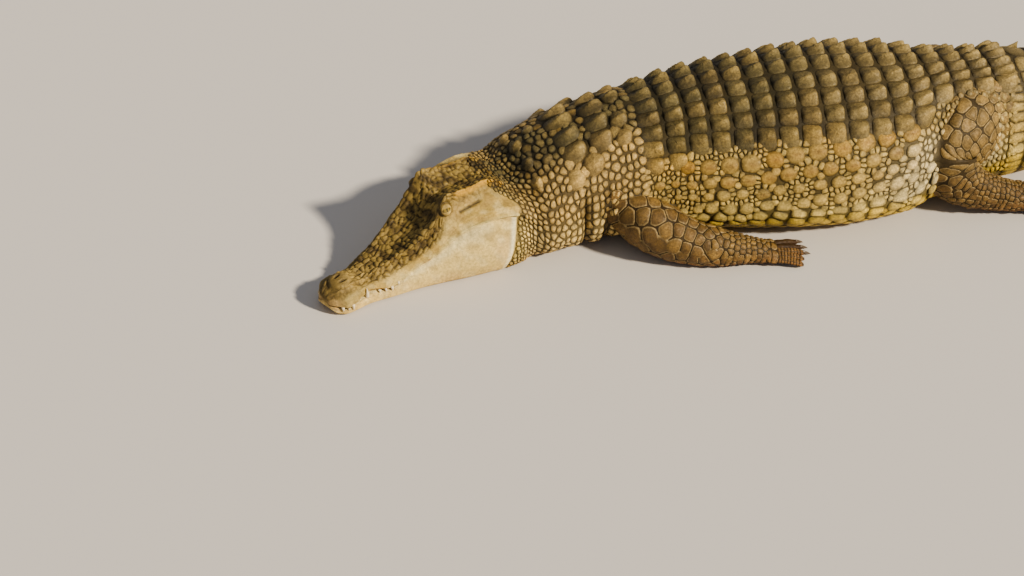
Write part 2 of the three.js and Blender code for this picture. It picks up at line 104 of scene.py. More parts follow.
def place(s, side, z):
    s, side, z = np.broadcast_arrays(*(np.asarray(v, float) for v in (s, side, z)))
    angle = np.radians(spine_heading(s)[..., 0])
    before = np.minimum(s, 0)
    x = np.interp(s, track_s, track[:, 0]) + np.cos(angle) * before + np.sin(angle) * side
    y = np.interp(s, track_s, track[:, 1]) + np.sin(angle) * before - np.cos(angle) * side
    return np.stack([x, y, z], -1) / 1000

def to_spine(points):
    s_parts = []
    flat = points[:, :2] * 1000
    for chunk in np.array_split(flat, max(1, len(flat) // 4000)):
        near = ((chunk[:, None] - track[None]) ** 2).sum(-1).argmin(1)
        angle = np.radians(spine_heading(track_s[near])[:, 0])
        x, y = (chunk - track[near]).T
        along, side = x * np.cos(angle) + y * np.sin(angle), x * np.sin(angle) - y * np.cos(angle)
        s_parts.append(np.stack([track_s[near] + along, side], 1))
    on = np.vstack(s_parts)
    return on[:, 0], on[:, 1], points[:, 2] * 1000

# s, half-width, height of the widest place, height of the back, fullness above and below
body_section = smooth_table([
    [440, 80, 80, 130, 2.2, 2.4], [540, 160, 80, 186, 2.2, 2.6], [600, 188, 82, 224, 2.2, 2.6],
    [680, 190, 92, 263, 2.2, 2.6], [880, 194, 118, 319, 2.2, 2.6], [1100, 230, 130, 352, 2.25, 2.6],
    [1380, 260, 132, 365, 2.35, 2.7], [1540, 238, 134, 357, 2.35, 2.7], [1690, 160, 140, 346, 2.3, 2.5],
    [1850, 142, 140, 326, 2.3, 2.4], [2000, 130, 132, 290, 2.2, 2.4], [2350, 104, 112, 246, 2.1, 2.4],
    [2700, 74, 92, 196, 2.0, 2.3], [3050, 44, 66, 140, 2.0, 2.2], [3350, 20, 42, 84, 2.0, 2.0],
    [3500, 5, 18, 34, 2.0, 2.0]])

body_inset, belly_drop = 4.0, 14

def body_profile(s, turn):
    """Half-width and height of the skin, sunk into the solids by the depth of the scales."""
    s, turn = np.broadcast_arrays(np.asarray(s, float), np.asarray(turn, float))
    half, wide, top, above, below = np.moveaxis(body_section(s), -1, 0)
    angle = np.abs(turn) * np.pi
    upper = np.abs(turn) <= 0.5
    power = 2 / np.where(upper, above, below)
    out = np.abs(np.sin(angle)) ** power
    up = np.abs(np.cos(angle)) ** power
    height = np.where(upper, top - wide, wide + belly_drop) - body_inset
    z = wide + np.where(upper, 1, -1) * up * height
    return np.sign(turn) * out * (half - body_inset), np.maximum(z, 3.0)

def turn_of(s, side, z):
    half, wide, top, above, below = np.moveaxis(body_section(s), -1, 0)
    upper = z >= wide
    power = np.where(upper, above, below) / 2
    out = np.clip(np.abs(side) / half, 0, 1) ** power
    up = np.clip(np.abs(z - wide) / np.where(upper, top - wide, wide + belly_drop), 0, 1) ** power
    angle = np.arctan2(out, np.where(upper, 1, -1) * up)
    return np.sign(side) * angle / np.pi

# s, lip half-width and height, cheek half-width and height, brow half-width and height,
# height of the middle
head_section = smooth_table([
    [3, 28, 24, 25, 38, 12, 46, 47], [16, 42, 22, 42, 44, 24, 60, 62], [40, 54, 20, 52, 48, 28, 72, 74],
    [62, 53, 24, 51, 50, 30, 74, 77], [98, 46, 31, 46, 52, 28, 68, 68], [165, 66, 26, 62, 60, 36, 86, 80],
    [200, 68, 40, 66, 72, 44, 100, 90], [235, 76, 60, 76, 88, 56, 116, 102],
    [300, 96, 98, 92, 126, 66, 168, 138], [345, 108, 134, 96, 158, 61, 232, 188],
    [410, 126, 158, 112, 176, 56, 222, 206], [460, 138, 162, 122, 180, 52, 226, 210],
    [535, 146, 152, 130, 170, 56, 184, 186]])
# s, half-width at the floor, widest half-width and its height
jaw_section = smooth_table([
    [8, 22, 32, 12], [22, 38, 46, 12], [45, 46, 53, 12], [98, 53, 56, 16], [165, 69, 72, 14],
    [235, 84, 90, 20], [300, 102, 112, 30], [380, 124, 139, 44], [460, 136, 158, 58], [535, 138, 158, 68]])
head_knots = np.array([0, 0.06, 0.13, 0.21, 0.31, 0.375, 0.43, 0.452, 0.474, 0.55, 0.66, 0.76, 0.84, 1.0])

def head_profile(s, turn):
    """The head's outline for every s (rows) and turn (columns), as half-width and height."""
    lip_w, lip_z, cheek_w, cheek_z, brow_w, brow_z, mid_z = head_section(np.maximum(s, 16)).T
    floor_w, wide_w, wide_z = jaw_section(np.maximum(s, 22)).T
    # the lips run in lobes round the large teeth
    lobes = 2.6 * np.sin(s / 17.5) + 1.6 * np.sin(s / 9.1 + 1)
    lip_z = lip_z + lobes * np.clip((300 - s) / 120, 0, 1)
    low_lip = np.minimum(lip_w - 3, wide_w)
    shut = np.clip((514 - s) / 30, 0, 1)
    w = np.stack([0 * s, brow_w * 0.55, brow_w, brow_w * 0.84 + cheek_w * 0.16, cheek_w,
                  (lip_w + cheek_w) * 0.51, lip_w + 2, lip_w - 8 * shut, low_lip + 1 - 2 * shut,
                  (wide_w + low_lip) / 2 + 1, wide_w, (wide_w + floor_w) / 2 + 4, floor_w - 2, 0 * s], 1)
    z = np.stack([mid_z, (brow_z + mid_z) / 2, brow_z, cheek_z * 0.42 + brow_z * 0.58, cheek_z,
                  (lip_z + cheek_z) / 2, lip_z + 3, lip_z - 0.5, lip_z - 4, (wide_z + lip_z) / 2,
                  wide_z, wide_z * 0.32, 3 + 0 * s, 3 + 0 * s], 1)
    w, z = w - 1.5 * np.sign(w), z - 1.5 * np.sign(z - 50)
    return np.stack([smooth_table(np.column_stack([head_knots, *outline]))(turn) for outline in zip(w, z)])

# Skin
# One closed hide from the snout to the tail tip with the four legs grown into it. The head
# is modelled in it: nostril disc, ridges, brows, lids, ear slits, lips and jaw muscles.
def random_waves(points, length, seed, count=14):
    """A smooth random field between about -1 and 1; length is the size of its waves."""
    rng = np.random.default_rng(seed)
    value = np.zeros(points.shape[:-1])
    for _ in range(count):
        direction = rng.normal(size=3)
        direction *= 2 * np.pi * rng.uniform(0.6, 1.4) / (length * np.linalg.norm(direction))
        value += np.cos(points @ direction + rng.uniform(0, 2 * np.pi))
    return value * math.sqrt(2 / count) * 0.6

def bump(value, centre, width):
    return np.exp(-(((value - centre) / width) ** 2))

def step(value, low, high):
    t = np.clip((value - low) / (high - low), 0, 1)
    return t * t * (3 - 2 * t)

def fade(value, low, high):
    return 1 - step(value, low, high)

def between(value, low, full, last, high):
    return step(value, low, full) * fade(value, last, high)

def cells(points, sites):
    """Distances to the nearest and the second nearest site, and which site is nearest."""
    near, second, index = [], [], []
    for chunk in np.array_split(points, max(1, len(points) // 3000)):
        d = np.sqrt(((chunk[:, None] - sites[None]) ** 2).sum(-1))
        part = np.partition(d, 1, axis=1)
        near.append(part[:, 0])
        second.append(part[:, 1])
        index.append(d.argmin(1))
    return np.concatenate(near), np.concatenate(second), np.concatenate(index)

turn_grid = np.linspace(0, 1, 2001)
turn_density = 2.1 - 1.1 * step(turn_grid, 0.3, 0.36) - 0.5 * step(turn_grid, 0.52, 0.6) \
    + 2.0 * bump(turn_grid, 0.455, 0.035)
turn_sum = np.concatenate([[0], np.cumsum((turn_density[1:] + turn_density[:-1]) / 2)])
half_turns = np.interp(np.linspace(0, turn_sum[-1], 99), turn_sum, turn_grid)
skin_turns = np.concatenate([half_turns, -half_turns[-2:0:-1]])
skin_stations = np.concatenate([np.arange(2.5, 16, 1.5), np.arange(16, 311, 3), np.arange(311, 358, 1.5),
                                np.arange(358, 560, 3), np.arange(560, 1850, 12),
                                np.arange(1850, 3490, 16), [3494]])

S, U = np.meshgrid(skin_stations, skin_turns, indexing="ij")
body_side, body_z = body_profile(np.maximum(S, 440), np.where(U == 0, 1e-9, U))
head_rows = skin_stations < 620
head_wz = head_profile(np.minimum(skin_stations[head_rows], 535), np.abs(skin_turns))
to_neck = step(skin_stations[head_rows], 512, 604)[:, None]
side, height = body_side.copy(), body_z.copy()
signs = np.where(U[head_rows] < 0, -1, 1)
side[head_rows] = head_wz[..., 0] * signs * (1 - to_neck) + body_side[head_rows] * to_neck
height[head_rows] = head_wz[..., 1] * (1 - to_neck) + body_z[head_rows] * to_neck
tip = skin_stations < 16
tip_size = np.sqrt(1 - (np.maximum(16 - skin_stations[tip], 0) / 16) ** 2 * 0.99)[:, None]
side *= np.sqrt(1 - (np.maximum(34 - S, 0) / 34) ** 2 * 0.97)
tip_z, chin_s = 33, 40
height[tip] = tip_z + (height[tip] - tip_z) * (0.35 + 0.65 * tip_size)
chin = np.sqrt(np.clip(1 - (np.maximum(chin_s - S, 0) / chin_s) ** 2, 0.02, 1))
height = np.where((height < tip_z) & (S < chin_s), tip_z + (height - tip_z) * (0.3 + 0.7 * chin), height)
end = skin_stations > 3460
end_size = np.sqrt(np.clip((3500 - skin_stations[end]) / 40, 0.02, 1))[:, None]
side[end] *= end_size

grid = place(S, side, height)
spine_middle = place(skin_stations, 0, 60)[:, None]

def outward_normals(grid):
    normal = np.cross(np.gradient(grid, axis=0), np.roll(grid, -1, 1) - np.roll(grid, 1, 1))
    normal /= np.linalg.norm(normal, axis=-1, keepdims=True) + 1e-12
    return normal * np.where(((grid - spine_middle) * normal).sum(-1).mean() < 0, -1, 1)

normal = outward_normals(grid)
turn = np.abs(U)
head_top = 1 - step(turn + 0.08 * step(S, 285, 350) - 0.03 * step(S, 60, 130), 0.23, 0.30)
on_head = fade(S, 478, 505)
lift = np.zeros_like(S)
# ridges and hollows: height, turn, its width, and where along the spine each rises and fades
ridges = ((3.5, 0.10, 0.028, 185, 225, 315, 335),  # before the eyes
          (2.0, 0.0, 0.05, 105, 140, 230, 280),  # along the middle of the snout
          (6.0, 0.0, 0.045, 235, 290, 350, 400),  # between the eyes
          (2.0, 0.13, 0.02, 318, 335, 470, 485),  # the rims of the skull table
          (-2.4, 0.453, 0.007, 20, 40, 490, 508),  # the thin fold where the lips meet
          (1.4, 0.436, 0.009, 180, 260, 470, 500),  # the edge of the upper lip
          (-3.6, 0.26, 0.08, 1960, 2100, 3000, 3300))  # along each side of the tail
for tall, at, wide, *reach in ridges:
    lift += tall * bump(turn, at, wide) * between(S, *reach)
# folds of the cheek that run back from under the eye to the corner of the mouth
lift += 2.2 * np.sin((turn - 0.22) * 85) * bump(turn, 0.31, 0.05) * between(S, 340, 390, 480, 515)
lift -= 2.0 * bump(turn, 0.355 - 0.0004 * (S - 300), 0.012) * between(S, 270, 320, 400, 460)
# muscles of the jaw
lift += 4.0 * bump(turn, 0.62, 0.10) * bump(S, 430, 70)
lift -= 3.0 * bump(turn, 0.39, 0.03) * bump(S, 400, 60)
# the nostril disc with its two openings
disc = np.hypot((S - 52) / 29, side / 25)
top_side = fade(turn, 0.2, 0.26)
lift += 3.5 * fade(disc, 0.75, 1.1) * top_side
lift -= 1.8 * bump(disc, 1.12, 0.12) * top_side
nostril = np.hypot((S - 48 - 0.035 * side**2) / 8, (np.abs(side) - 11) / 4.2)
lift -= 7 * np.exp(-nostril**2) * top_side
lift += 1.6 * bump(nostril, 1.5, 0.35) * top_side
# the eyes sit high on the walls of the skull, just under the brows
eye_s, eye_radius = 334, 17.0
eye_row = head_section(np.array([float(eye_s)]))[0]
eye_wall = (eye_row[4] * 0.84 + eye_row[2] * 0.16, eye_row[3] * 0.42 + eye_row[5] * 0.58)
eye_side, eye_z = eye_wall[0] - eye_radius * 0.35, eye_wall[1] - 2
eye_centre = {1: place(eye_s, eye_side, eye_z), -1: place(eye_s, -eye_side, eye_z)}
to_eye = np.minimum(*[np.linalg.norm(grid - eye_centre[m], axis=-1) for m in (1, -1)]) * 1000
# rough bone under the skin of the snout and skull, in uneven knobs with cracks between
rng = np.random.default_rng(7)
knob_s, knob_w = np.meshgrid(np.arange(8, 500, 15.0), np.arange(-168, 169, 14.0))
knob_s = knob_s + rng.uniform(-6, 6, knob_s.shape)
knob_w = knob_w + rng.uniform(-5.5, 5.5, knob_w.shape)
knobs = np.stack([knob_s.ravel(), knob_w.ravel()], 1)
head_mask = np.repeat(head_rows[:, None], S.shape[1], 1).ravel()
walk = np.linalg.norm(np.diff(grid, axis=1, append=grid[:, :1]), axis=-1) * 1000
arc = np.concatenate([np.zeros((len(S), 1)), np.cumsum(walk, 1)[:, :-1]], 1)
arc = np.where(U < 0, arc - walk.sum(1)[:, None], arc)
near, second, which = cells(np.stack([S.ravel(), arc.ravel()], 1)[head_mask], knobs)
knob_height = rng.uniform(0.2, 1.5, len(knobs))
crack = np.zeros(S.size)
crack[head_mask] = 1 - step(second - near, 0.3, 3.2)
knob = np.zeros(S.size)
knob[head_mask] = knob_height[which] * step(second - near, 0, 7)
crack, knob = crack.reshape(S.shape), knob.reshape(S.shape)
smooth_nose = 1 - 0.65 * fade(S, 60, 120)
flap_edge = 1 - 0.85 * bump(turn, 0.165, 0.035) * step(S, 360, 385)
rough = head_top * on_head * smooth_nose * flap_edge * (0.15 + 0.85 * step(to_eye, 20, 30)) \
    * (1 - 0.75 * fade(disc, 0.8, 1.2) * top_side)
lift += rough * (2.8 * knob - 1.5 * crack + 1.5 * random_waves(grid, 0.045, 3) - 1.6)
lift += 0.7 * random_waves(grid, 0.03, 6) * on_head * (1 - head_top) * step(S, 14, 40) \
    * fade(turn, 0.42, 0.46)
# the back sinks under its bony plates
lift -= 6 * fade(turn, 0.30, 0.36) * between(S, 860, 900, 1800, 1900)
# lips: soft swellings over the tooth roots
roots = 1.3 * np.sin(S / 4.6) * between(S, 18, 30, 330, 420)
lift += roots * (bump(turn, 0.415, 0.022) + 0.8 * bump(turn, 0.495, 0.02))
# the hard edge where the smooth cheek ends against the neck
def cheek_slant(turn):
    """How far the cheek's edge runs forward, in millimetres, on its way down to the throat."""
    return 130 * np.clip(turn - 0.43, 0, 0.45)

cheek_end = 514 - cheek_slant(turn)
edge = between(turn, 0.33, 0.40, 0.86, 0.95)
lift += 2.5 * bump(S, cheek_end - 8, 9) * edge - 5.0 * bump(S, cheek_end + 5, 6) * edge
# folds of the throat: place, lean, width, depth, and the turn where each is at its full depth
throat_folds = ((706, 20, 12, 17, 0.46), (772, 10, 11, 15, 0.45))
for fold_s, lean, width, depth, full in throat_folds:
    lift -= depth * bump(S, fold_s + lean * (turn - 0.5), width) * between(turn, 0.30, full, 0.8, 0.95)
lift -= 5 * bump(S, 640, 9) * between(turn, 0.5, 0.62, 0.8, 0.95)
# wrinkles before the hips, and slow swellings all along the body
groin = between(S, 1560, 1640, 1760, 1850) * between(turn, 0.3, 0.42, 0.72, 0.85)
lift += 2.2 * groin * np.sin(S / 6.5 + 5 * random_waves(grid, 0.12, 9))
lift += 1.2 * random_waves(grid, 0.11, 4) * step(S, 540, 640) * (height > 6)

def eye_axes(mirror):
    """The directions out of an eye, forward and upward."""
    outward = place(eye_s, mirror * (eye_side + 100), eye_z + 45) - eye_centre[mirror]
    outward /= np.linalg.norm(outward)
    forward = place(eye_s - 10, mirror * eye_side, eye_z) - eye_centre[mirror]
    forward -= outward * (forward @ outward)
    forward /= np.linalg.norm(forward)
    upward = np.cross(outward, forward)
    return outward, forward, upward * np.sign(upward[2])

# lids: round each eye the skin lies on the eyeball, with a narrow slit between the lids
lid_gap, lid_half = 4.4, 14.5
grid = grid + normal * (lift / 1000)[..., None]
lid_shade, lid_pale_and_highlight = np.zeros_like(S), np.zeros_like(S)
for mirror in (1, -1):
    outward, forward, upward = eye_axes(mirror)
    local = (grid - eye_centre[mirror]) * 1000
    a, b, c = local @ forward, local @ upward, local @ outward
    r = np.hypot(a, b)
    near_eye = (r < 34) & (c > -8) & (np.sign(U) == mirror)
    shell = np.sqrt(np.maximum((eye_radius + 0.8) ** 2 - r**2, 0))
    slit = lid_gap * np.clip(1 - (a / 14.0) ** 2, 0, 1) + 0.2
    open_eye = 1 - step(np.abs(b + 1.0) / slit, 0.8, 1.25)
    open_eye *= np.abs(a) < lid_half
    target = shell - 6.5 * open_eye + 1.3 * np.cos(r * 0.95) * step(r, 6, 10)
    weight = fade(r, lid_half, 22) * near_eye
    grid = grid + (outward * ((target - c) * weight / 1000)[..., None])
    # painted shade in the groove round the eye and in the slit; the lids painted pale, with painted highlight
    # on the crests of their ring folds
    lid_shade = np.maximum(lid_shade, near_eye * bump(r, 17.5, 2.5) * 0.8)
    lid_shade = np.maximum(lid_shade, near_eye * open_eye * (r < 18))
    lid_pale_and_highlight = lid_pale_and_highlight + near_eye * (1 - open_eye) * fade(r, 11, 16) * (0.15 + 0.2 * np.cos(r * 0.95))
    # the ear: a long flap along the side of the skull table, shut over its slit
    ear = (S > 355) & (S < 470) & (np.sign(U) == mirror)
    opening = bump(turn, 0.262 - 0.0002 * (S - 365), 0.006) * between(S, 362, 372, 424, 438)
    plate = bump(turn, 0.222, 0.016) * between(S, 368, 380, 440, 462)
    grid = grid + normal * (ear * (1.8 * plate - 5.0 * opening) / 1000)[..., None]
skin_floor = 0.0028
grid[..., 2] = np.maximum(grid[..., 2], skin_floor)
# painted shade in the head's cracks, round the eyes, in the fold where the lips meet, behind the cheek's
# edge, in the nostrils and in the ear slits; below zero where the lids are painted pale
cavity_shade_and_pale_lids = np.clip(np.maximum(rough * crack, 0) + lid_shade + 1.1 * bump(turn, 0.455, 0.011) * (S < 512)
                 + 0.9 * bump(S, cheek_end + 3, 4) * edge + np.exp(-nostril**2) * top_side * 1.3
                 + 1.3 * opening, 0, 1) - lid_pale_and_highlight

def new_object(name, points, faces):
    mesh = bpy.data.meshes.new(name)
    mesh.from_pydata(points, [], faces)
    mesh.update()
    piece = bpy.data.objects.new(name, mesh)
    bpy.context.scene.collection.objects.link(piece)
    return piece

def tube(name, rings):
    """A closed tube through rings of points (rings, sides, 3), with a fan at each end."""
    count, sides = rings.shape[:2]
    index = np.arange(count * sides).reshape(count, sides)
    turned = np.roll(index, -1, 1)
    quads = np.stack([index[:-1], turned[:-1], turned[1:], index[1:]], -1).reshape(-1, 4)
    points = np.vstack([rings.reshape(-1, 3), rings[0].mean(0), rings[-1].mean(0)])
    first, last = count * sides, count * sides + 1
    fans = [(first, b, a) for a, b in zip(index[0], turned[0])]
    fans += [(last, a, b) for a, b in zip(index[-1], turned[-1])]
    a, b, c = points[quads[:, 0]], points[quads[:, 1]], points[quads[:, 2]]
    faces = quads.tolist() + fans
    if (a * np.cross(b, c)).sum() < 0:
        faces = [tuple(reversed(f)) for f in faces]
    return new_object(name, points.tolist(), faces)

skin = tube("skin", grid)

# the legs: stations of place, side, height, half-width and half-thickness along each
limb_stations = {
    "foreleg_left": [[810, 120, 124, 60, 64], [885, 210, 88, 64, 72], [985, 262, 58, 56, 60],
                     [1075, 284, 44, 46, 46], [1150, 292, 34, 36, 32], [1208, 292, 24, 42, 20]],
    "foreleg_right": [[800, -120, 130, 60, 64], [878, -205, 98, 62, 68], [985, -252, 62, 54, 60],
                      [1078, -276, 46, 44, 46], [1156, -292, 34, 34, 32], [1210, -302, 24, 42, 20]],
    "hindleg_left": [[1800, 30, 206, 92, 100], [1714, 98, 184, 92, 114], [1664, 152, 131, 64, 95],
                     [1702, 184, 84, 48, 64], [1788, 206, 48, 42, 44], [1880, 226, 28, 50, 26]],
    "hindleg_right": [[1800, -30, 206, 92, 100], [1718, -98, 184, 92, 114], [1672, -154, 131, 64, 95],
                      [1716, -192, 84, 48, 64], [1804, -218, 48, 42, 44], [1896, -242, 28, 50, 26]]}
# the toes' reach, spread, fan, thickness, claw and number; each foot's root and its first toe's side
hand_toes, foot_toes = (92, 54, 92, 11, 18, 5), (122, 70, 130, 13, 22, 4)
limb_toes = {"foreleg_left": ((1195, 292, 20), 1, *hand_toes),
             "foreleg_right": ((1197, -300, 20), -1, *hand_toes),
             "hindleg_left": ((1868, 223, 22), -1, *foot_toes),
             "hindleg_right": ((1884, -239, 22), 1, *foot_toes)}
clawed_toes, toe_arch, leg_inset = 3, 0.006, 3.0

def circle(count):
    return np.linspace(0, 2 * np.pi, count, endpoint=False)[None]

def side_and_up(ahead):
    """The level direction across a unit direction, and the one square to both."""
    across = np.cross(ahead, [0, 0, 1])
    across /= np.linalg.norm(across, axis=-1, keepdims=True)
    return across, np.cross(across, ahead)

class Limb:
    """A leg's centre line (centripetal Catmull-Rom through its stations) and its rings."""
    def __init__(self, stations):
        stations = np.array(stations, float)
        self.points = place(*stations[:, :3].T)
        self.last = len(stations) - 1
        self.sizes = smooth_table(np.column_stack([np.arange(len(stations)) / self.last, stations[:, 3:]]))

    def centre(self, t):
        p = self.points
        p = np.vstack([2 * p[0] - p[1], p, 2 * p[-1] - p[-2]])
        at = np.clip(np.asarray(t, float), 0, 1) * self.last
        i = np.clip(at.astype(int), 0, self.last - 1)
        w = (at - i)[..., None]
        p0, p1, p2, p3 = p[i], p[i + 1], p[i + 2], p[i + 3]
        d0, d1, d2 = (np.linalg.norm(b - a, axis=-1, keepdims=True) ** 0.5
                      for a, b in ((p0, p1), (p1, p2), (p2, p3)))
        t1 = ((p1 - p0) / d0 - (p2 - p0) / (d0 + d1) + (p2 - p1) / d1) * d1
        t2 = ((p2 - p1) / d1 - (p3 - p1) / (d1 + d2) + (p3 - p2) / d2) * d1
        return (p1 * (2 * w**3 - 3 * w**2 + 1) + t1 * (w**3 - 2 * w**2 + w)
                + p2 * (3 * w**2 - 2 * w**3) + t2 * (w**3 - w**2))

    def surface(self, t, angle):
        """Points of the leg's skin, and the directions across and up there."""
        t, angle = np.broadcast_arrays(np.asarray(t, float), np.asarray(angle, float))
        tangent = self.centre(t + 0.004) - self.centre(t - 0.004)
        tangent /= np.linalg.norm(tangent, axis=-1, keepdims=True)
        across, upward = side_and_up(tangent)
        half, thick = np.moveaxis((self.sizes(t) - leg_inset) / 1000, -1, 0)
        point = (self.centre(t) + across * (half * np.cos(angle))[..., None]
                 + upward * (thick * np.sin(angle))[..., None])
        point[..., 2] = np.maximum(point[..., 2], skin_floor)
        return point, across, upward

def toe_radius(thick, k, least):
    """A toe's radius in metres at a share k of its length: swollen pads and a rounded end."""
    pads = 1.0 - 0.2 * k + 0.07 * np.sin(k * 20)
    return thick / 1000 * pads * np.sqrt(np.clip((1.02 - k) / 0.12, least, 1))

def united(base, others):
    """One closed mesh of the base with every other object grown into it."""
    for other in others:
        joint = base.modifiers.new("join", "BOOLEAN")
        joint.operation = "UNION"
        joint.solver = "MANIFOLD"
        joint.object = other
        mesh = bpy.data.meshes.new_from_object(base.evaluated_get(bpy.context.evaluated_depsgraph_get()))
        base.modifiers.clear()
        old, base.data = base.data, mesh
        bpy.data.meshes.remove(old)
        bpy.data.objects.remove(other)
    return base

def tree_of(piece):
    return BVHTree.FromPolygons([v.co.copy() for v in piece.data.vertices],
                                [tuple(p.vertices) for p in piece.data.polygons])

limbs, toes, leg_objects, leg_trees = {}, {}, [], {}
for name, stations in limb_stations.items():
    limb = limbs[name] = Limb(stations)
    t, angle = np.meshgrid(np.linspace(0, 1, 74), circle(48)[0], indexing="ij")
    rings = limb.surface(t, angle)[0]
    swell = 1 + 0.03 * random_waves(rings, 0.06, 11) \
        + 0.02 * np.sin(t * 95 + 2 * np.cos(angle)) * step(t, 0.35, 0.5)
    rings = limb.centre(t) + (rings - limb.centre(t)) * swell[..., None]
    rings[..., 2] = np.maximum(rings[..., 2], skin_floor)
    leg = tube(name, rings)
    root, inner, reach, spread, fan, thick, claw, count = limb_toes[name]
    toes[name] = []
    for i in range(count):
        across = (i / (count - 1) - 0.5) * inner
        length = reach * (1 - 0.28 * abs(i / (count - 1) - 0.42))
        start = place(root[0] - 14, root[1] + across * spread, root[2])
        tip_point = place(root[0] + length, root[1] + across * fan, thick * 0.8)
        toes[name].append((start, tip_point, thick, claw if i < clawed_toes else 0))
    digits = []
    for start, tip_point, thick, _ in toes[name]:
        reach_m = np.linalg.norm(tip_point - start)
        ahead = (tip_point - start) / reach_m
        across, upward = side_and_up(ahead)
        k, phi = np.linspace(0, 1, 22)[:, None], circle(18)
        radius = toe_radius(thick - 1.6, k, 0)
        digit = (start + ahead * (reach_m * k)[..., None] + across * (radius * np.cos(phi))[..., None]
                 + upward * (radius * 0.85 * np.sin(phi) + toe_arch * np.sin(np.pi * k))[..., None])
        digit[..., 2] = np.maximum(digit[..., 2], 0.0026)
        digits.append(tube("digit", digit))
    leg_objects.append(united(leg, digits))
    leg_trees[name] = tree_of(leg)
body_tree = tree_of(skin)
skin = united(skin, leg_objects)

def mesh_arrays(mesh):
    points = np.empty(len(mesh.vertices) * 3)
    mesh.vertices.foreach_get("co", points)
    edges = np.empty(len(mesh.edges) * 2, int)
    mesh.edges.foreach_get("vertices", edges)
    return points.reshape(-1, 3), edges.reshape(-1, 2)

def neighbour_mean(values):
    total = np.zeros_like(values)
    np.add.at(total, edges[:, 0], values[edges[:, 1]])
    np.add.at(total, edges[:, 1], values[edges[:, 0]])
    return (total.T / neighbours).T

# where a leg grows out of the body the crease is softened
points, edges = mesh_arrays(skin.data)
neighbours = np.bincount(edges.ravel(), minlength=len(points)).astype(float)
soften, leg_share = np.zeros(len(points)), np.zeros(len(points))
for name, tree in leg_trees.items():
    line = limbs[name].centre(np.linspace(0, 1, 30))
    inside = ((points > line.min(0) - 0.19) & (points < line.max(0) + 0.19)).all(1)
    for i in np.nonzero(inside)[0]:
        p = Vector(points[i])
        to_leg = tree.find_nearest(p)[3]
        if to_leg > 0.05:
            continue
        to_body = body_tree.find_nearest(p)[3]
        soften[i] = max(soften[i], math.exp(-(max(to_leg, to_body) / 0.016) ** 2))
        if to_leg < to_body:
            leg_share[i] = 1
for _ in range(14):
    points += (neighbour_mean(points) - points) * (0.6 * soften)[:, None]
skin.data.vertices.foreach_set("co", points.ravel())
skin.data.update()

# Markings
# The hide's own colours, laid over skin and scales alike: olive back, tan flanks, cream
# belly and cheeks, brown legs, dark bands round the tail, and dust near the ground, with
# painted shade in the throat folds and painted highlight on the ear flaps' top edges and
# the cheeks' raised rims.
def tint(red, green, blue):
    value = np.array([red, green, blue]) / 255
    return np.where(value < 0.04045, value / 12.92, ((value + 0.055) / 1.055) ** 2.4)

def blend(base, colour, share):
    return base + (tint(*colour) - base) * np.asarray(share)[..., None]

def layered(points, base, *layers):
    """A base colour at every point, with other colours laid over it by their shares."""
    colour = np.broadcast_to(tint(*base), points.shape)
    for rgb, share in layers:
        colour = blend(colour, rgb, share)
    return colour

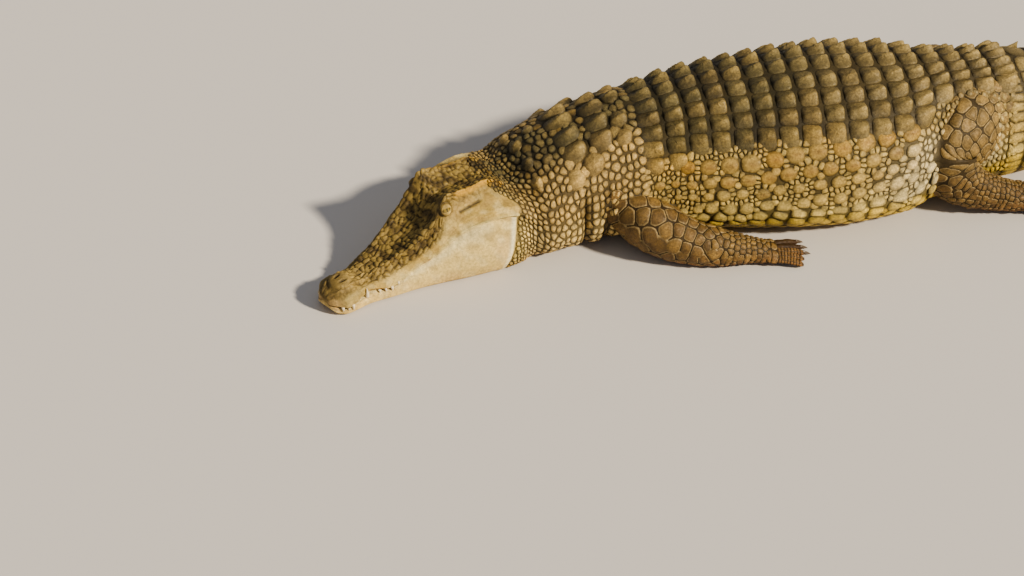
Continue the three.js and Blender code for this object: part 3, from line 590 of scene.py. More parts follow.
def markings_and_painted_light(points, s, turn, on_leg):
    around, height = np.abs(turn), points[..., 2]
    patch, fleck = random_waves(points, 0.16, 21), random_waves(points, 0.035, 22)
    flank = step(around + 0.02 * fleck, 0.235, 0.33)
    neck = between(s, 480, 560, 850, 930)
    fold = np.maximum(*[bump(s, at + lean * (around - 0.5), width) for at, lean, width, _, _ in throat_folds])
    groin = between(s, 1400, 1600, 1760, 1840) * step(around + 0.03 * patch, 0.29, 0.40) \
        * fade(around, 0.52, 0.6)
    tail = step(s, 1840, 1960)
    band = step(np.sin(s / 38.0 + 0.8 * patch), 0.25, 0.75)
    colour = layered(
        points, (130, 116, 74), ((166, 142, 86), step(fleck, -0.2, 0.9) * 0.7),
        ((98, 84, 56), step(patch, 0.1, 0.8) * 0.5), ((176, 152, 98), step(s, 1200, 1450) * 0.55),
        ((196, 169, 100), flank), ((200, 160, 84), flank * step(patch, -0.1, 0.7) * 0.5),
        ((230, 204, 126), step(around + 0.03 * patch, 0.43, 0.54)),
        ((230, 196, 84), step(around + 0.02 * patch, 0.52, 0.60) * 0.9 * step(s, 560, 640)),
        ((206, 174, 108), neck * between(around, 0.08, 0.2, 0.4, 0.55)),
        ((236, 206, 138), neck * step(around, 0.38, 0.55)),
        # painted shade: dark brown painted into the throat folds
        ((70, 48, 22), fold * between(around, 0.30, 0.46, 0.8, 0.95) * 0.8), ((220, 204, 160), groin * 0.75),
        ((160, 136, 84), tail * step(around, 0.15, 0.3)),
        ((66, 54, 34), tail * band * 0.7 * fade(around, 0.7, 0.85)),
        ((74, 62, 40), step(s, 2900, 3400) * 0.5))
    # the head: crown and snout above, cheeks and jaws below
    slant = cheek_slant(around)
    head = 1 - step(s, 504 - slant, 520 - slant)
    top = fade(around + 0.08 * step(s, 285, 350) - 0.03 * step(s, 60, 130) + 0.015 * fleck, 0.22, 0.32)
    crown = layered(
        points, (152, 128, 70), ((100, 82, 44), step(fleck, -0.3, 0.8)),
        ((190, 162, 98), step(patch, 0.0, 0.8) * 0.6),
        # painted highlight: an orange strip along the ear flap's top edge
        ((206, 160, 68), bump(around, 0.155, 0.03) * step(s, 355, 385) * 0.9))
    cheek = layered(
        points, (190, 162, 92), ((226, 202, 134), step(patch, -0.4, 0.5) * 0.7),
        ((228, 210, 144), step(around, 0.37, 0.44) * step(s, 120, 220) * 0.7),
        ((224, 196, 126), step(around, 0.45, 0.475) * 0.8),
        ((206, 176, 122), step(patch, 0.1, 0.8) * step(around, 0.46, 0.5) * 0.5),
        ((160, 132, 76), step(fleck, 0.0, 0.7) * step(s, 60, 300) * 0.55 * fade(around, 0.5, 0.6)),
        ((244, 230, 180), step(fleck, -0.2, -0.8) * 0.2),
        ((244, 232, 182), bump(around, 0.50, 0.03) * 0.5 * fade(s, 380, 460)),
        # painted highlight: a near-white line along the cheek's raised rim before the neck
        ((248, 238, 196), bump(s, 504 - slant, 7) * step(around, 0.42, 0.5) * 0.8),
        ((158, 138, 84), fade(s, 40, 170) * 0.8 * fade(around, 0.43, 0.48)),
        ((180, 150, 98), fade(s, 12, 34) * 0.9 * fade(around, 0.6, 0.7)))
    for spot in (112, 124, 138, 150, 164, 255, 268):
        gum = bump(s, spot, 3.4) * bump(around, 0.440 + 0.004 * math.sin(spot), 0.014)
        cheek = blend(cheek, (126, 48, 26), np.clip(gum * 1.6, 0, 1) * (0.9 if spot < 200 else 0.6))
    face = blend(cheek + (crown - cheek) * top[..., None], (96, 80, 46), fade(s, 10, 90) * top * 0.6)
    colour = colour + (face - colour) * head[..., None]
    leg = layered(
        points, (128, 100, 56), ((164, 132, 74), step(fleck, -0.2, 0.8) * 0.6),
        ((108, 80, 46), step(patch, 0.0, 0.8) * 0.5),
        ((168, 142, 86), step(height, 0.10, 0.17) * step(s, 1500, 1600) * 0.5))
    colour = colour + (leg - colour) * np.asarray(on_leg)[..., None]
    dust = fade(height, 0.004, 0.05) * (0.35 + 0.35 * np.asarray(on_leg)) * (1 - 0.6 * head)
    return blend(colour, (158, 106, 60), dust)

def new_material(name, values):
    """A material, its shader, and a maker of nodes for it; values go on the shader's sockets."""
    material = bpy.data.materials.new(name)
    material.use_nodes = True
    tree = material.node_tree

    def put(node, values):
        for socket, value in values.items():
            if isinstance(value, bpy.types.NodeSocket):
                tree.links.new(value, node.inputs[socket])
            else:
                node.inputs[socket].default_value = value

    def add(kind, values, output, **settings):
        """A new node; gives the output that is asked for."""
        node = tree.nodes.new("ShaderNode" + kind)
        for setting, value in settings.items():
            setattr(node, setting, value)
        put(node, values)
        return node.outputs[output]

    put(tree.nodes["Principled BSDF"], values)
    return material, add, lambda values: put(tree.nodes["Principled BSDF"], values)

def hide_material(name, fine, rough, relief, speckle):
    """Horny hide: its painted colours with their painted light and shade, finely speckled, with painted shade
    in fine cracks, and cracks and grit in the bump.
    """
    material, add, finish = new_material(name, {"Specular IOR Level": 0.35})
    marking_and_painted_light = add("Attribute", {}, "Color", attribute_name="marking_and_painted_light")
    spot = add("TexCoord", {}, "Object")
    grit = add("TexNoise", {"Scale": fine, "Detail": 6, "Roughness": 0.62, "Vector": spot}, "Fac")
    blotch = add("TexNoise", {"Scale": 38, "Detail": 4, "Roughness": 0.62, "Vector": spot}, "Fac")
    speck = add("MapRange", {"From Min": 0.32, "From Max": 0.7, "To Min": 1 - speckle,
                             "To Max": 1 + speckle / 2, "Value": grit}, "Result")
    shade = add("MapRange", {"From Min": 0.3, "From Max": 0.7, "To Min": 1 - speckle,
                             "To Max": 1 + 0.7 * speckle, "Value": blotch}, "Result")
    wobble = add("VectorMath", {0: grit.node.outputs["Color"], 1: (0.02, 0.02, 0.02), 2: spot}, "Vector",
                 operation="MULTIPLY_ADD")
    cracks = add("TexVoronoi", {"Scale": fine * 0.55, "Vector": wobble}, "Distance",
                 feature="DISTANCE_TO_EDGE")
    groove = add("MapRange", {"From Max": 0.08, "Value": cracks}, "Result")
    # painted shade: the colour darkens in the fine cracks
    crack_shade = add("MapRange", {"To Min": 1 - speckle, "Value": groove}, "Result")
    both = add("Math", {0: speck, 1: shade}, "Value", operation="MULTIPLY")
    tone_and_crack_shade = add("Math", {0: both, 1: crack_shade}, "Value", operation="MULTIPLY")
    height = add("Math", {0: groove, 1: 0.35, 2: grit}, "Value", operation="MULTIPLY_ADD")
    gloss = {"To Min": rough + 0.14, "To Max": rough - 0.1, "Value": grit}
    finish({"Base Color": add("VectorMath", {0: marking_and_painted_light, "Scale": tone_and_crack_shade}, "Vector", operation="SCALE"),
            "Roughness": add("MapRange", gloss, "Result"),
            "Normal": add("Bump", {"Strength": relief, "Distance": 0.0016, "Height": height}, "Normal")})
    return material

hide = hide_material("hide", 150, 0.6, 0.6, 0.2)
horn_scales = hide_material("horn_scales", 200, 0.52, 0.6, 0.36)

def paint(mesh, colours):
    layer = mesh.attributes.new("marking_and_painted_light", "FLOAT_COLOR", "POINT")
    flat = np.ones((len(colours), 4), np.float32)
    flat[:, :3] = np.clip(colours, 0.004, 1)
    layer.data.foreach_set("color", flat.ravel())

def dressed(piece, material, slot, *nodes):
    """The last touches to a piece: smooth shading, its material, its place under the root, and the model's
    parts that it stands for hidden.
    """
    piece.data.shade_smooth()
    piece.data.materials.clear()
    piece.data.materials.append(material)
    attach(piece, "root")
    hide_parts(*nodes)

points, edges = mesh_arrays(skin.data)
skin_s, skin_side, skin_z = to_spine(points)
skin_turn = turn_of(skin_s, skin_side, skin_z)
on_leg = leg_share
for _ in range(4):
    on_leg = on_leg * 0.4 + 0.6 * neighbour_mean(on_leg)
# on the head the place comes from the nearest point of the grid, with its painted shade in cracks and round
# the lids, and its pale lids
grid_tree = KDTree(S.size)
for i in np.nonzero(S.ravel() < 650)[0]:
    grid_tree.insert(grid.reshape(-1, 3)[i], int(i))
grid_tree.balance()
skin_cavity_shade_and_pale_lids = np.zeros(len(points))
for i in np.nonzero(skin_s < 640)[0]:
    j = grid_tree.find(points[i])[1]
    skin_cavity_shade_and_pale_lids[i], skin_turn[i], skin_s[i] = cavity_shade_and_pale_lids.flat[j], U.flat[j], S.flat[j]
skin_around = np.abs(skin_turn)
skin_colour = markings_and_painted_light(points, skin_s, skin_turn, on_leg)
# under scales the skin is painted dark, as painted shade in their seams, the only place where it shows
behind = 516 - cheek_slant(skin_around) - 50 * fade(skin_around, 0.2, 0.3)
scaled = np.maximum(step(skin_s, behind, behind + 10) * fade(skin_around, 0.86, 0.92), on_leg)
bare = between(skin_s, 1590, 1670, 1750, 1830) * step(skin_around, 0.32, 0.4) * (1 - on_leg)
skin_colour *= (1 - 0.80 * scaled * (1 - 0.6 * bare))[:, None]
# painted shade in the head's cracks, grooves, nostrils and ear slits and round the eyes; then the pale lids
# with their painted highlight
skin_colour = blend(skin_colour, (38, 28, 18), np.clip(skin_cavity_shade_and_pale_lids, 0, 1) * 0.85)
skin_colour = blend(skin_colour, (212, 184, 112), np.clip(-skin_cavity_shade_and_pale_lids, 0, 1))
paint(skin.data, skin_colour)
dressed(skin, hide, "body_hide", *[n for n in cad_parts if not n.startswith("eye")])

# Scale making
# Each scale is a closed horny plate: its outline is half-way to its neighbours less the
# seam, its top is domed or keeled, and its root is sunk a little into the skin.
grid_normal = outward_normals(grid)
half_count = len(half_turns) - 1

def on_body(s, turn):
    """The skin's point and normal at places along the spine and round the body."""
    row = np.interp(s, skin_stations, np.arange(len(skin_stations)))
    turn = (turn + 1) % 2 - 1
    column = np.interp(np.abs(turn), half_turns, np.arange(half_count + 1.0))
    column = np.where(turn < 0, 2 * half_count - column, column)
    i = np.minimum(row.astype(int), len(skin_stations) - 2)
    j = column.astype(int)
    f, g = (row - i)[..., None], (column - j)[..., None]
    j, k = j % (2 * half_count), (j + 1) % (2 * half_count)
    return tuple((table[i, j] * (1 - g) + table[i, k] * g) * (1 - f)
                 + (table[i + 1, j] * (1 - g) + table[i + 1, k] * g) * f for table in (grid, grid_normal))

def metric_of(surface, sites):
    """Millimetres of hide per unit of each of a site's two coordinates."""
    small_steps = np.diag([1e-3, 1e-3 / 300] if surface is on_body else [1e-3 / 400, 1e-3 / 60]) * 1000
    ahead_behind = [(surface(*(sites + d).T)[0], surface(*(sites - d).T)[0]) for d in small_steps]
    return np.stack([np.linalg.norm(a - b, axis=-1) / (2 * d.sum()) * 1000
                     for (a, b), d in zip(ahead_behind, small_steps)], 1)

def outlines(sites, size, metric, theta, corner, gap, oval):
    """Each scale's radius towards every side; a high corner makes sharp corners."""
    tree = KDTree(len(sites))
    flat_sites = [(x, y, 0) for x, y in sites * np.median(metric, 0)]
    for i, site in enumerate(flat_sites):
        tree.insert(site, i)
    tree.balance()
    count = min(14, len(sites))
    near = np.array([[found[1] for found in tree.find_n(site, count)][1:] for site in flat_sites])
    gone = (sites[near] - sites[:, None]) * metric[:, None]
    bearing = np.arctan2(gone[..., 1], gone[..., 0])
    seam = np.hypot(gap[0] * np.cos(bearing), gap[1] * np.sin(bearing)) / 2
    share = size[:, None] / (size[:, None] + size[near])
    half = np.maximum(np.linalg.norm(gone, axis=-1) * share - seam, 1.5)
    reach = (np.maximum(np.cos(theta - bearing[..., None]), 1e-6) / half[..., None]) ** corner
    limit = (np.hypot(np.cos(theta) / oval[0], np.sin(theta) / oval[1]) / (1.25 * size)[:, None]) ** corner
    return (reach.sum(1) + limit) ** (-1 / corner)

def closed_triangles(rings, sides, first, last):
    """Triangles of a closed tube whose end points have the numbers first and last."""
    index = np.arange(rings * sides).reshape(rings, sides)
    turned = np.roll(index, -1, 1)
    return np.concatenate([np.stack([index[:-1], turned[:-1], turned[1:]], -1).reshape(-1, 3),
                           np.stack([index[:-1], turned[1:], index[1:]], -1).reshape(-1, 3),
                           np.stack([index[-1], turned[-1], np.full(sides, last)], -1),
                           np.stack([turned[0], index[0], np.full(sides, first)], -1)])

def turned_out(points, triangles):
    """The triangles of many like shells, numbered one after another, all facing outwards."""
    corners = (points - points.mean(1, keepdims=True))[:, triangles]
    inward = (corners[:, :, 0] * np.cross(corners[:, :, 1], corners[:, :, 2])).sum((1, 2)) < 0
    faces = np.where(inward[:, None, None], triangles[None, :, ::-1], triangles[None])
    return (faces + (np.arange(len(points)) * points.shape[1])[:, None, None]).reshape(-1, 3)

def unwrapped(mesh, uv):
    """The unwrap for the bake, from one place for each point."""
    corners = np.empty(len(mesh.loops), np.int32)
    mesh.loops.foreach_get("vertex_index", corners)
    layer = mesh.uv_layers.new(name="OFBake")
    layer.data.foreach_set("uv", np.clip(uv, 0.001, 0.999)[corners].astype(np.float32).ravel())

skin_tree = tree_of(skin)
root_depth, patch_size = 3.2, 0.0014
scale_box = np.array(cad_bounds[0]) + (0.0003, 0.0003, 0.0007), np.array(cad_bounds[1]) - 0.0003
domed_rings = np.array([1.0, 1.0, 0.93, 0.76, 0.4])
keeled_rings = np.array([1.0, 1.0, 0.95, 0.85, 0.66, 0.46, 0.26, 0.1])

def scales(name, surface, sites, size, height, keel, seed, sides=14, corner=7.0, gap=(1.8, 1.8), warm=0.0,
           oval=(1.0, 1.0), uv_origin=(0.0, 0.0), uv_scale=(1.0, 1.0), slot="body_hide", nodes=()):
    """A piece of scales at sites (two coordinates each) on a surface of the body or a leg."""
    rng = np.random.default_rng(seed)
    on_leg = surface is not on_body
    size, height, keel, warm = (np.broadcast_to(np.asarray(v, float), len(sites))
                                for v in (size, height, keel, warm))
    metric = metric_of(surface, sites)
    theta = np.arange(sides) * 2 * np.pi / sides
    radius = outlines(sites, size, metric, theta, corner, gap, oval)
    # scales hidden inside another part of the body, or far from the finished skin, are left out
    root, root_normal = surface(*sites.T)
    shift, keep = np.zeros_like(root), np.ones(len(sites), bool)
    for i, p in enumerate(root):
        spot, normal, _, away = skin_tree.find_nearest(Vector(p))
        facing = normal.dot(Vector(root_normal[i])) > (0.6 if on_leg else 0.35)
        keep[i] = away < 0.011 and facing and p[2] > 0.0045
        shift[i] = np.array(spot) - p
    if not keep.any():
        return
    radius, sites, metric, shift, root = radius[keep], sites[keep], metric[keep], shift[keep], root[keep]
    height, keel, warm, total = height[keep, None], keel[keep, None], warm[keep], keep.sum()
    # rings of points from the root to the top, then the middles of the top and of the root
    q = keeled_rings if keel.max() > 0 else domed_rings
    rise = np.where(q < 1, (1 - q**3.2) ** 0.55, 0.0)
    rise[:2] = -1.0, 0.12
    across = radius[:, None] * q[None, :, None]
    a, b = (np.hstack([(across * wave(theta)).reshape(total, -1), np.zeros((total, 2))])
            for wave in (np.cos, np.sin))
    level = np.concatenate([np.repeat(rise, sides), [1.0, -1.0]])
    ring = np.concatenate([np.repeat(q, sides), [0.0, 1.0]])
    span = radius.mean(1)[:, None]
    ridge = np.exp(-(b / (0.34 * span)) ** 2) * (0.35 + 0.65 * step(a / span, -0.9, 0.75))
    bony = keel > 5
    slope = 1 + 0.75 * bony * np.clip(a / span, -1, 1)
    lift = np.where(level < 0, -root_depth, height * level * slope + keel * ridge * (1 - ring**6))
    lift = lift + np.where(level > 0, rng.normal(0, 0.16, lift.shape) * (1 + 2.5 * bony), 0)
    lean = np.where(level > 0.1, 0.34 * keel * np.maximum(level, 0) * (0.5 + 0.5 * a / span), 0)
    base, normal = surface(sites[:, :1] + (a + lean) / metric[:, :1], sites[:, 1:] + b / metric[:, 1:])
    if on_leg:
        for i, j in np.ndindex(*lift.shape):
            spot, face_normal, _, _ = skin_tree.find_nearest(Vector(base[i, j]))
            base[i, j] = np.array(spot)
            normal[i, j] = normal[i, j] * 0.4 + 0.6 * np.array(face_normal)
    else:
        base = base + shift[:, None]
    verts = np.clip(base + normal * (lift / 1000)[..., None], *scale_box)
    per = verts.shape[1]
    faces = turned_out(verts, closed_triangles(len(q), sides, per - 1, per - 2))
    piece = new_object(name, verts.reshape(-1, 3).tolist(), faces.tolist())
    # each scale has its own tone, with painted light laid over it: paler on the top, painted shade down to
    # the seam, and painted highlight along a keel
    spine_s, spine_turn = sites.T
    if on_leg:
        spine_s, side_mm, z_mm = to_spine(root)
        spine_turn = turn_of(spine_s, side_mm, z_mm)
    own = markings_and_painted_light(root, spine_s, spine_turn, np.full(total, float(on_leg)))
    own = own * rng.uniform(0.80, 1.16, total)[:, None]
    own = blend(own, (190, 142, 46), warm * rng.uniform(0.3, 0.8, total))
    beside = bony * step(np.abs(b) / (np.hypot(a, b) + 1e-9), 0.6, 0.9) * (level > 0)
    top = np.clip(level, 0, 1)[None] ** 1.5
    top = top + (0.62 - top).clip(0) * beside
    shade = 0.16 + 0.84 * top + 0.22 * np.where(keel > 0, ridge * (1 - ring) - 0.25, 0)
    # painted light on bony plates: painted shade on each plate's front slope, painted highlight towards its
    # rear edge
    shade = shade * (1 + bony * np.clip(0.42 * a / span - 0.1, -0.5, 0.3))
    colours = own[:, None] * np.clip(shade, 0.10, 1.25)[..., None]
    if on_leg:
        colours = blend(colours, (206, 178, 122), bump(ring, 0.93, 0.06) * 0.5 * (level > 0))
    # painted highlight: a pale tan crest on the keel of each bony plate, on its rear half
    crest = bony * ridge * np.clip(1 - 1.2 * ring, 0, 1) * step(a / span, -0.3, 0.3)
    scar = (warm[:, None] > 0.3) * ridge * (1 - ring) * (keel > 0)
    colours = blend(colours, (200, 170, 104), crest.clip(0, 1) * 0.6)
    colours = blend(colours, (96, 46, 30), scar.clip(0, 1) * 0.6)
    paint(piece.data, colours.reshape(-1, 3))
    patch = np.stack([a, b], -1) / np.abs(radius).max(1)[:, None, None] * patch_size
    root_uv = (sites - np.array(uv_origin)) * np.array(uv_scale)
    unwrapped(piece.data, (root_uv[:, None] + patch).reshape(-1, 2))
    dressed(piece, horn_scales, slot, *nodes)

# Back plates
# Seventeen cross rows of keeled bony plates over the trunk, eight to a row, and the
# large plates of the nape in front of them.
unwrap_length, unwrap_turns = 3650, 3.4
body_unwrap = dict(uv_origin=(-60.0, -1.15), uv_scale=(1 / unwrap_length, 1 / unwrap_turns))
rng = np.random.default_rng(31)
plate_rows, plates_from, plates_length = 17, 880, 970
plate_turns, plate_keels = (0.036, 0.108, 0.18, 0.25, 0.312), (9.5, 14, 14, 12, 8)
sites, sizes, heights, keels = [], [], [], []
for row in range(plate_rows):
    s = plates_from + (row + 0.5) * plates_length / plate_rows
    wide = 1.0 - 0.12 * step(s, 1500, 1800)
    for column, turn in enumerate(plate_turns):
        # the outer columns stop short: the fifth at the shoulder, the fourth before the hips
        if (column == 4 and s > 1010) or (column == 3 and s > 1640):
            continue
        for mirror in (1, -1):
            sites.append((s + rng.uniform(-2, 2) - 10 * (column / 4) ** 2 + 8,
                          mirror * turn * wide * rng.uniform(0.985, 1.015)))
            sizes.append(29 if column < 4 else 22)
            heights.append(7.0 - 0.5 * column)
            keels.append(plate_keels[column] * rng.uniform(0.85, 1.0))
plate_sites = np.array(sites)
scales("back_plates", on_body, plate_sites, sizes, heights, keels, 41, sides=24, corner=12.0, gap=(9.0, 0.8),
       nodes=("trunk",), **body_unwrap)
# the plates of the nape: place along the spine, turn and size
nape = np.array([(596, 0.055, 16), (592, 0.17, 15), (640, 0.10, 13), (705, 0.045, 33), (709, 0.135, 31),
                 (785, 0.045, 34), (781, 0.13, 31), (745, 0.225, 26), (836, 0.07, 22), (838, 0.16, 20),
                 (690, 0.26, 22)])
nape = np.vstack([nape, nape * (1, -1, 1) + (2, 0, 0)])
nape, nape_size = nape[:, :2], nape[:, 2]
scales("nape_plates", on_body, nape, nape_size, 6.0, nape_size * 0.34, 42, sides=20, corner=8.0, gap=(4, 3),
       nodes=("neck",), **body_unwrap)

# Flank, neck and belly scales
# Cobbles in rough rings round the body between the plates, with rows of large oval scutes
# along the flank and big smooth ones along the edge of the belly.
both_sides = ((1, "left"), (-1, "right"))

def even_turns(s, low, high, pitch):
    """Turns between two limits, evenly spaced along the skin of one station."""
    turns = np.linspace(low, high, 70)
    line = on_body(np.full(70, s), turns)[0]
    arc = np.concatenate([[0], np.cumsum(np.linalg.norm(np.diff(line, axis=0), axis=1))]) * 1000
    count = max(3, int(arc[-1] / pitch))
    return np.interp((np.arange(count) + 0.5) / count * arc[-1], arc, turns)

def scatter(s_from, s_to, ring_pitch, pitch_round, jitter, seed, keep_off, off_size, low, high):
    """Sites in rings, jittered, clear of the larger scales already placed."""
    rng = np.random.default_rng(seed)
    out, s = [], s_from
    while s < s_to:
        pitch = ring_pitch(s)
        turns = even_turns(s, low, high, pitch_round(s))
        spread, shift = np.gradient(turns), rng.uniform(-0.5, 0.5)
        for k, turn in enumerate(turns):
            out.append((s + rng.uniform(-jitter, jitter) * pitch,
                        turn + (shift + rng.uniform(-jitter, jitter)) * spread[k]))
        s += pitch
    out = np.array(out)
    away = (out[:, None] - keep_off[None]) * metric_of(on_body, out)[:, None]
    away[..., 0] = out[:, None, 0] - keep_off[None, :, 0]
    return out[(np.hypot(away[..., 0], away[..., 1]) > off_size[None] + 4).all(1)]

# the rows of scutes: turn below the first row, pitch, radius, keel, and how orange they are
scute_rows = ((0, 57, 22, 4.5, 0.85), (0.062, 52, 18, 1.5, 0.5), (0.118, 47, 15.5, 0.6, 0.3),
              (0.166, 46, 18, 0.3, 0.1), (0.216, 50, 21, 0.2, 0.0), (0.268, 50, 21, 0.1, 0.0))
belly_rows, belly_pitch, belly_size, cobble_pitch = (0.66, 0.71, 0.76, 0.81), 40, 20.0, 12.5
for mirror, side_name in both_sides:
    rng = np.random.default_rng(50 + mirror)
    scutes = []
    for down, pitch, radius, keel, hue in scute_rows:
        s = 905 + rng.uniform(0, pitch / 2) + (60 if down == 0 else 0)
        while s < (1560 if down < 0.15 else 1700):
            grown = step(s, 940, 1080)
            large = (0.6 + 0.4 * grown) * (1 - 0.25 * step(s, 1500, 1650)) * rng.uniform(0.86, 1.08)
            turn = 0.352 - 0.05 * step(s, 1050, 1560) + down
            scutes.append((s + rng.uniform(-5, 5), mirror * (turn + rng.uniform(-0.006, 0.006)),
                           radius * large, keel * large, hue * rng.uniform(0.5, 1.1)))
            s += pitch * (0.75 + 0.25 * grown)
    scutes = np.array(scutes)
    scutes, scute_size, scute_keel, scute_warm = scutes[:, :2], *scutes[:, 2:].T
    scales("flank_scutes_" + side_name, on_body, scutes, scute_size, 5.0, scute_keel, 70 + mirror, sides=18,
           gap=(2.4, 2.0), warm=scute_warm, oval=(1.12, 0.95), nodes=("trunk",), **body_unwrap)
    belly = []
    for row, turn in enumerate(belly_rows):
        for k in range(24):
            s = 905 + k * belly_pitch + rng.uniform(-2.5, 2.5) + (row % 2) * belly_pitch / 2
            if s < 1720:
                belly.append((s, mirror * (turn - 0.02 * step(s, 1050, 1560) + rng.uniform(-0.004, 0.004))))
    belly = np.array(belly)
    small = scatter(888, 1846, lambda s: cobble_pitch, lambda s: cobble_pitch + 9 * step(s, 1540, 1600), 0.25,
                    60 + mirror, np.vstack([scutes, belly]),
                    np.append(scute_size, np.full(len(belly), belly_size * 0.9)),
                    mirror * 0.20, mirror * 0.66)
    small = small[np.abs(small[:, 1]) > 0.30 - 0.02 * step(small[:, 0], 1000, 1100)
                  - 0.06 * step(small[:, 0], 1560, 1680)]
    outer = plate_sites[plate_sites[:, 1] * mirror > 0.20]
    small = small[(np.hypot(small[:, None, 0] - outer[None, :, 0],
                            (small[:, None, 1] - outer[None, :, 1]) * 900) >= 26).all(1)]
    n, m = len(belly), len(small)
    size = np.append(np.full(n, belly_size), rng.uniform(8, 12, m))
    tall = np.append(np.full(n, 3.6), rng.uniform(2.4, 4.0, m))
    warm = np.append(rng.uniform(0, 0.12, n), rng.uniform(-0.3, 0.3, m).clip(0))
    scales("flank_scales_" + side_name, on_body, np.vstack([belly, small]), size, tall, 0.0, 80 + mirror,
           sides=12, warm=warm, nodes=("trunk",), **body_unwrap)

for mirror, side_name in both_sides:
    small = scatter(462, 886, lambda s: 10.0 + 7.5 * step(s, 500, 640),
                    lambda s: 11.0 + 12 * step(s, 500, 640), 0.24, 90 + mirror, nape, nape_size * 0.92,
                    mirror * 0.004, mirror * 0.84)
    around = np.abs(small[:, 1])
    small = small[small[:, 0] > 524 - cheek_slant(around) - 52 * fade(around, 0.2, 0.3)]
    rng = np.random.default_rng(95 + mirror)
    size = (5.5 + 5.5 * step(small[:, 0], 500, 640)) * rng.uniform(0.85, 1.15, len(small))
    size *= np.where(rng.uniform(0, 1, len(small)) > 0.93, 1.6, 1)
    scales("neck_scales_" + side_name, on_body, small, size, rng.uniform(2.6, 4.0, len(small)), 0.0,
           96 + mirror, sides=12, corner=6.0, warm=rng.uniform(-0.9, 0.4, len(small)).clip(0),
           oval=(0.95, 1.3), nodes=("neck",), **body_unwrap)

# Tail scales and crest
# Rings of long rectangular scales all round the tail, and two rows of upright blades that
# draw together into one row for its last third.
tail_nodes = ("tail_base", "tail_middle", "tail_tip")
whorl_count, paired_whorls = 34, 18
whorls, s, length = [], 1870.0, 60.8
for _ in range(whorl_count):
    whorls.append((s + length / 2, length))
    s += length
    length *= 0.985
for mirror, side_name in both_sides:
    rng = np.random.default_rng(110 + mirror)
    sites, size = [], []
    for s, length in [(1848, 46)] + [whorl for whorl in whorls if whorl[0] <= 3470]:
        per_turn = float(metric_of(on_body, np.array([[s, mirror * 0.4]]))[0, 1])
        count = max(3, int(round(0.80 * per_turn / (length * 0.62))))
        for k in range(count):
            sites.append((s + rng.uniform(-1, 1), mirror * (0.045 + 0.80 * (k + 0.5) / count)))
            size.append(length * 0.5)
    scales("tail_scales_" + side_name, on_body, np.array(sites), size, 3.4, 0.0, 112 + mirror, corner=12.0,
           gap=(2.6, 1.5), nodes=tail_nodes, **body_unwrap)

# s, distance from the middle line, height
crest_shape = smooth_table([[1850, 62, 16], [2150, 54, 30], [2450, 36, 48], [2680, 16, 58], [2800, 0, 62],
                            [3150, 0, 52], [3500, 0, 16]])
blade_rings, blade_sides = 8, 16
blade_points, blade_colours, blade_uvs = [], [], []
for number, (s, length) in enumerate(whorls):
    half, wide, top = body_section(np.array(s))[:3]
    side_mm, tall = crest_shape(np.array(s))
    for mirror in ((1, -1) if number < paired_whorls else (0,)):
        root_z = wide + (top - wide) * math.sqrt(max(0.0, 1 - (side_mm / half) ** 2)) - 8
        v, phi = np.linspace(0, 1, blade_rings)[:, None], circle(blade_sides)
        reach = length * 0.47 * (1 - 0.62 * v**1.3)
        thick = (7.5 - 2.5 * number / whorl_count) * (1 - 0.82 * v)
        lean_back = length * 0.30 * v**1.6
        rings = place(s + reach * np.cos(phi) + lean_back - 2,
                      mirror * side_mm + thick * np.sin(phi) * (1 + 0.12 * np.sin(5 * phi)),
                      root_z + (tall + 5) * v - 4 * v**2 * (1 - np.cos(phi)))
        blade = np.vstack([rings.reshape(-1, 3), rings[0].mean(0), rings[-1].mean(0)])
        count = len(blade)
        own = markings_and_painted_light(blade, np.full(count, s), np.full(count, 0.1), np.zeros(count))
        rise = np.repeat(v.ravel(), blade_sides)
        blade_points.append(blade)
        # each blade has its own tone, with painted shade darkening it towards the root and painted highlight
        # towards its tip
        blade_colours.append(own * (0.85 + 0.3 * ((number * 7) % 5) / 5)
                             * (0.35 + 0.85 * np.append(rise, [0, 1]))[:, None])
        uv = np.stack([(s + 60) / unwrap_length + patch_size * np.tile(np.cos(phi[0]), blade_rings),
                       (mirror * 0.1 + 1.15) / unwrap_turns + patch_size * rise], 1)
        blade_uvs.append(np.vstack([uv, uv[:2]]))
blade_points = np.array(blade_points)
first = blade_rings * blade_sides
blade_faces = turned_out(blade_points, closed_triangles(blade_rings, blade_sides, first, first + 1))
blades = new_object("tail_crest", blade_points.reshape(-1, 3).tolist(), blade_faces.tolist())
paint(blades.data, np.vstack(blade_colours))
unwrapped(blades.data, np.vstack(blade_uvs))
dressed(blades, horn_scales, "body_hide", *tail_nodes)

# Leg scales
# Polygonal scales that are largest on the upper arm and thigh and get smaller down to the
# wrist and ankle, with bands of small plates along the tops of the toes.
def on_limb(limb):
    def surface(t, angle):
        t = np.clip(t, 0.005, 0.995)
        point, across, upward = limb.surface(t, angle)
        half, thick = np.moveaxis(limb.sizes(t), -1, 0)
        normal = across * (np.cos(angle) / half)[..., None] + upward * (np.sin(angle) / thick)[..., None]
        return point, normal / np.linalg.norm(normal, axis=-1, keepdims=True)
    return surface

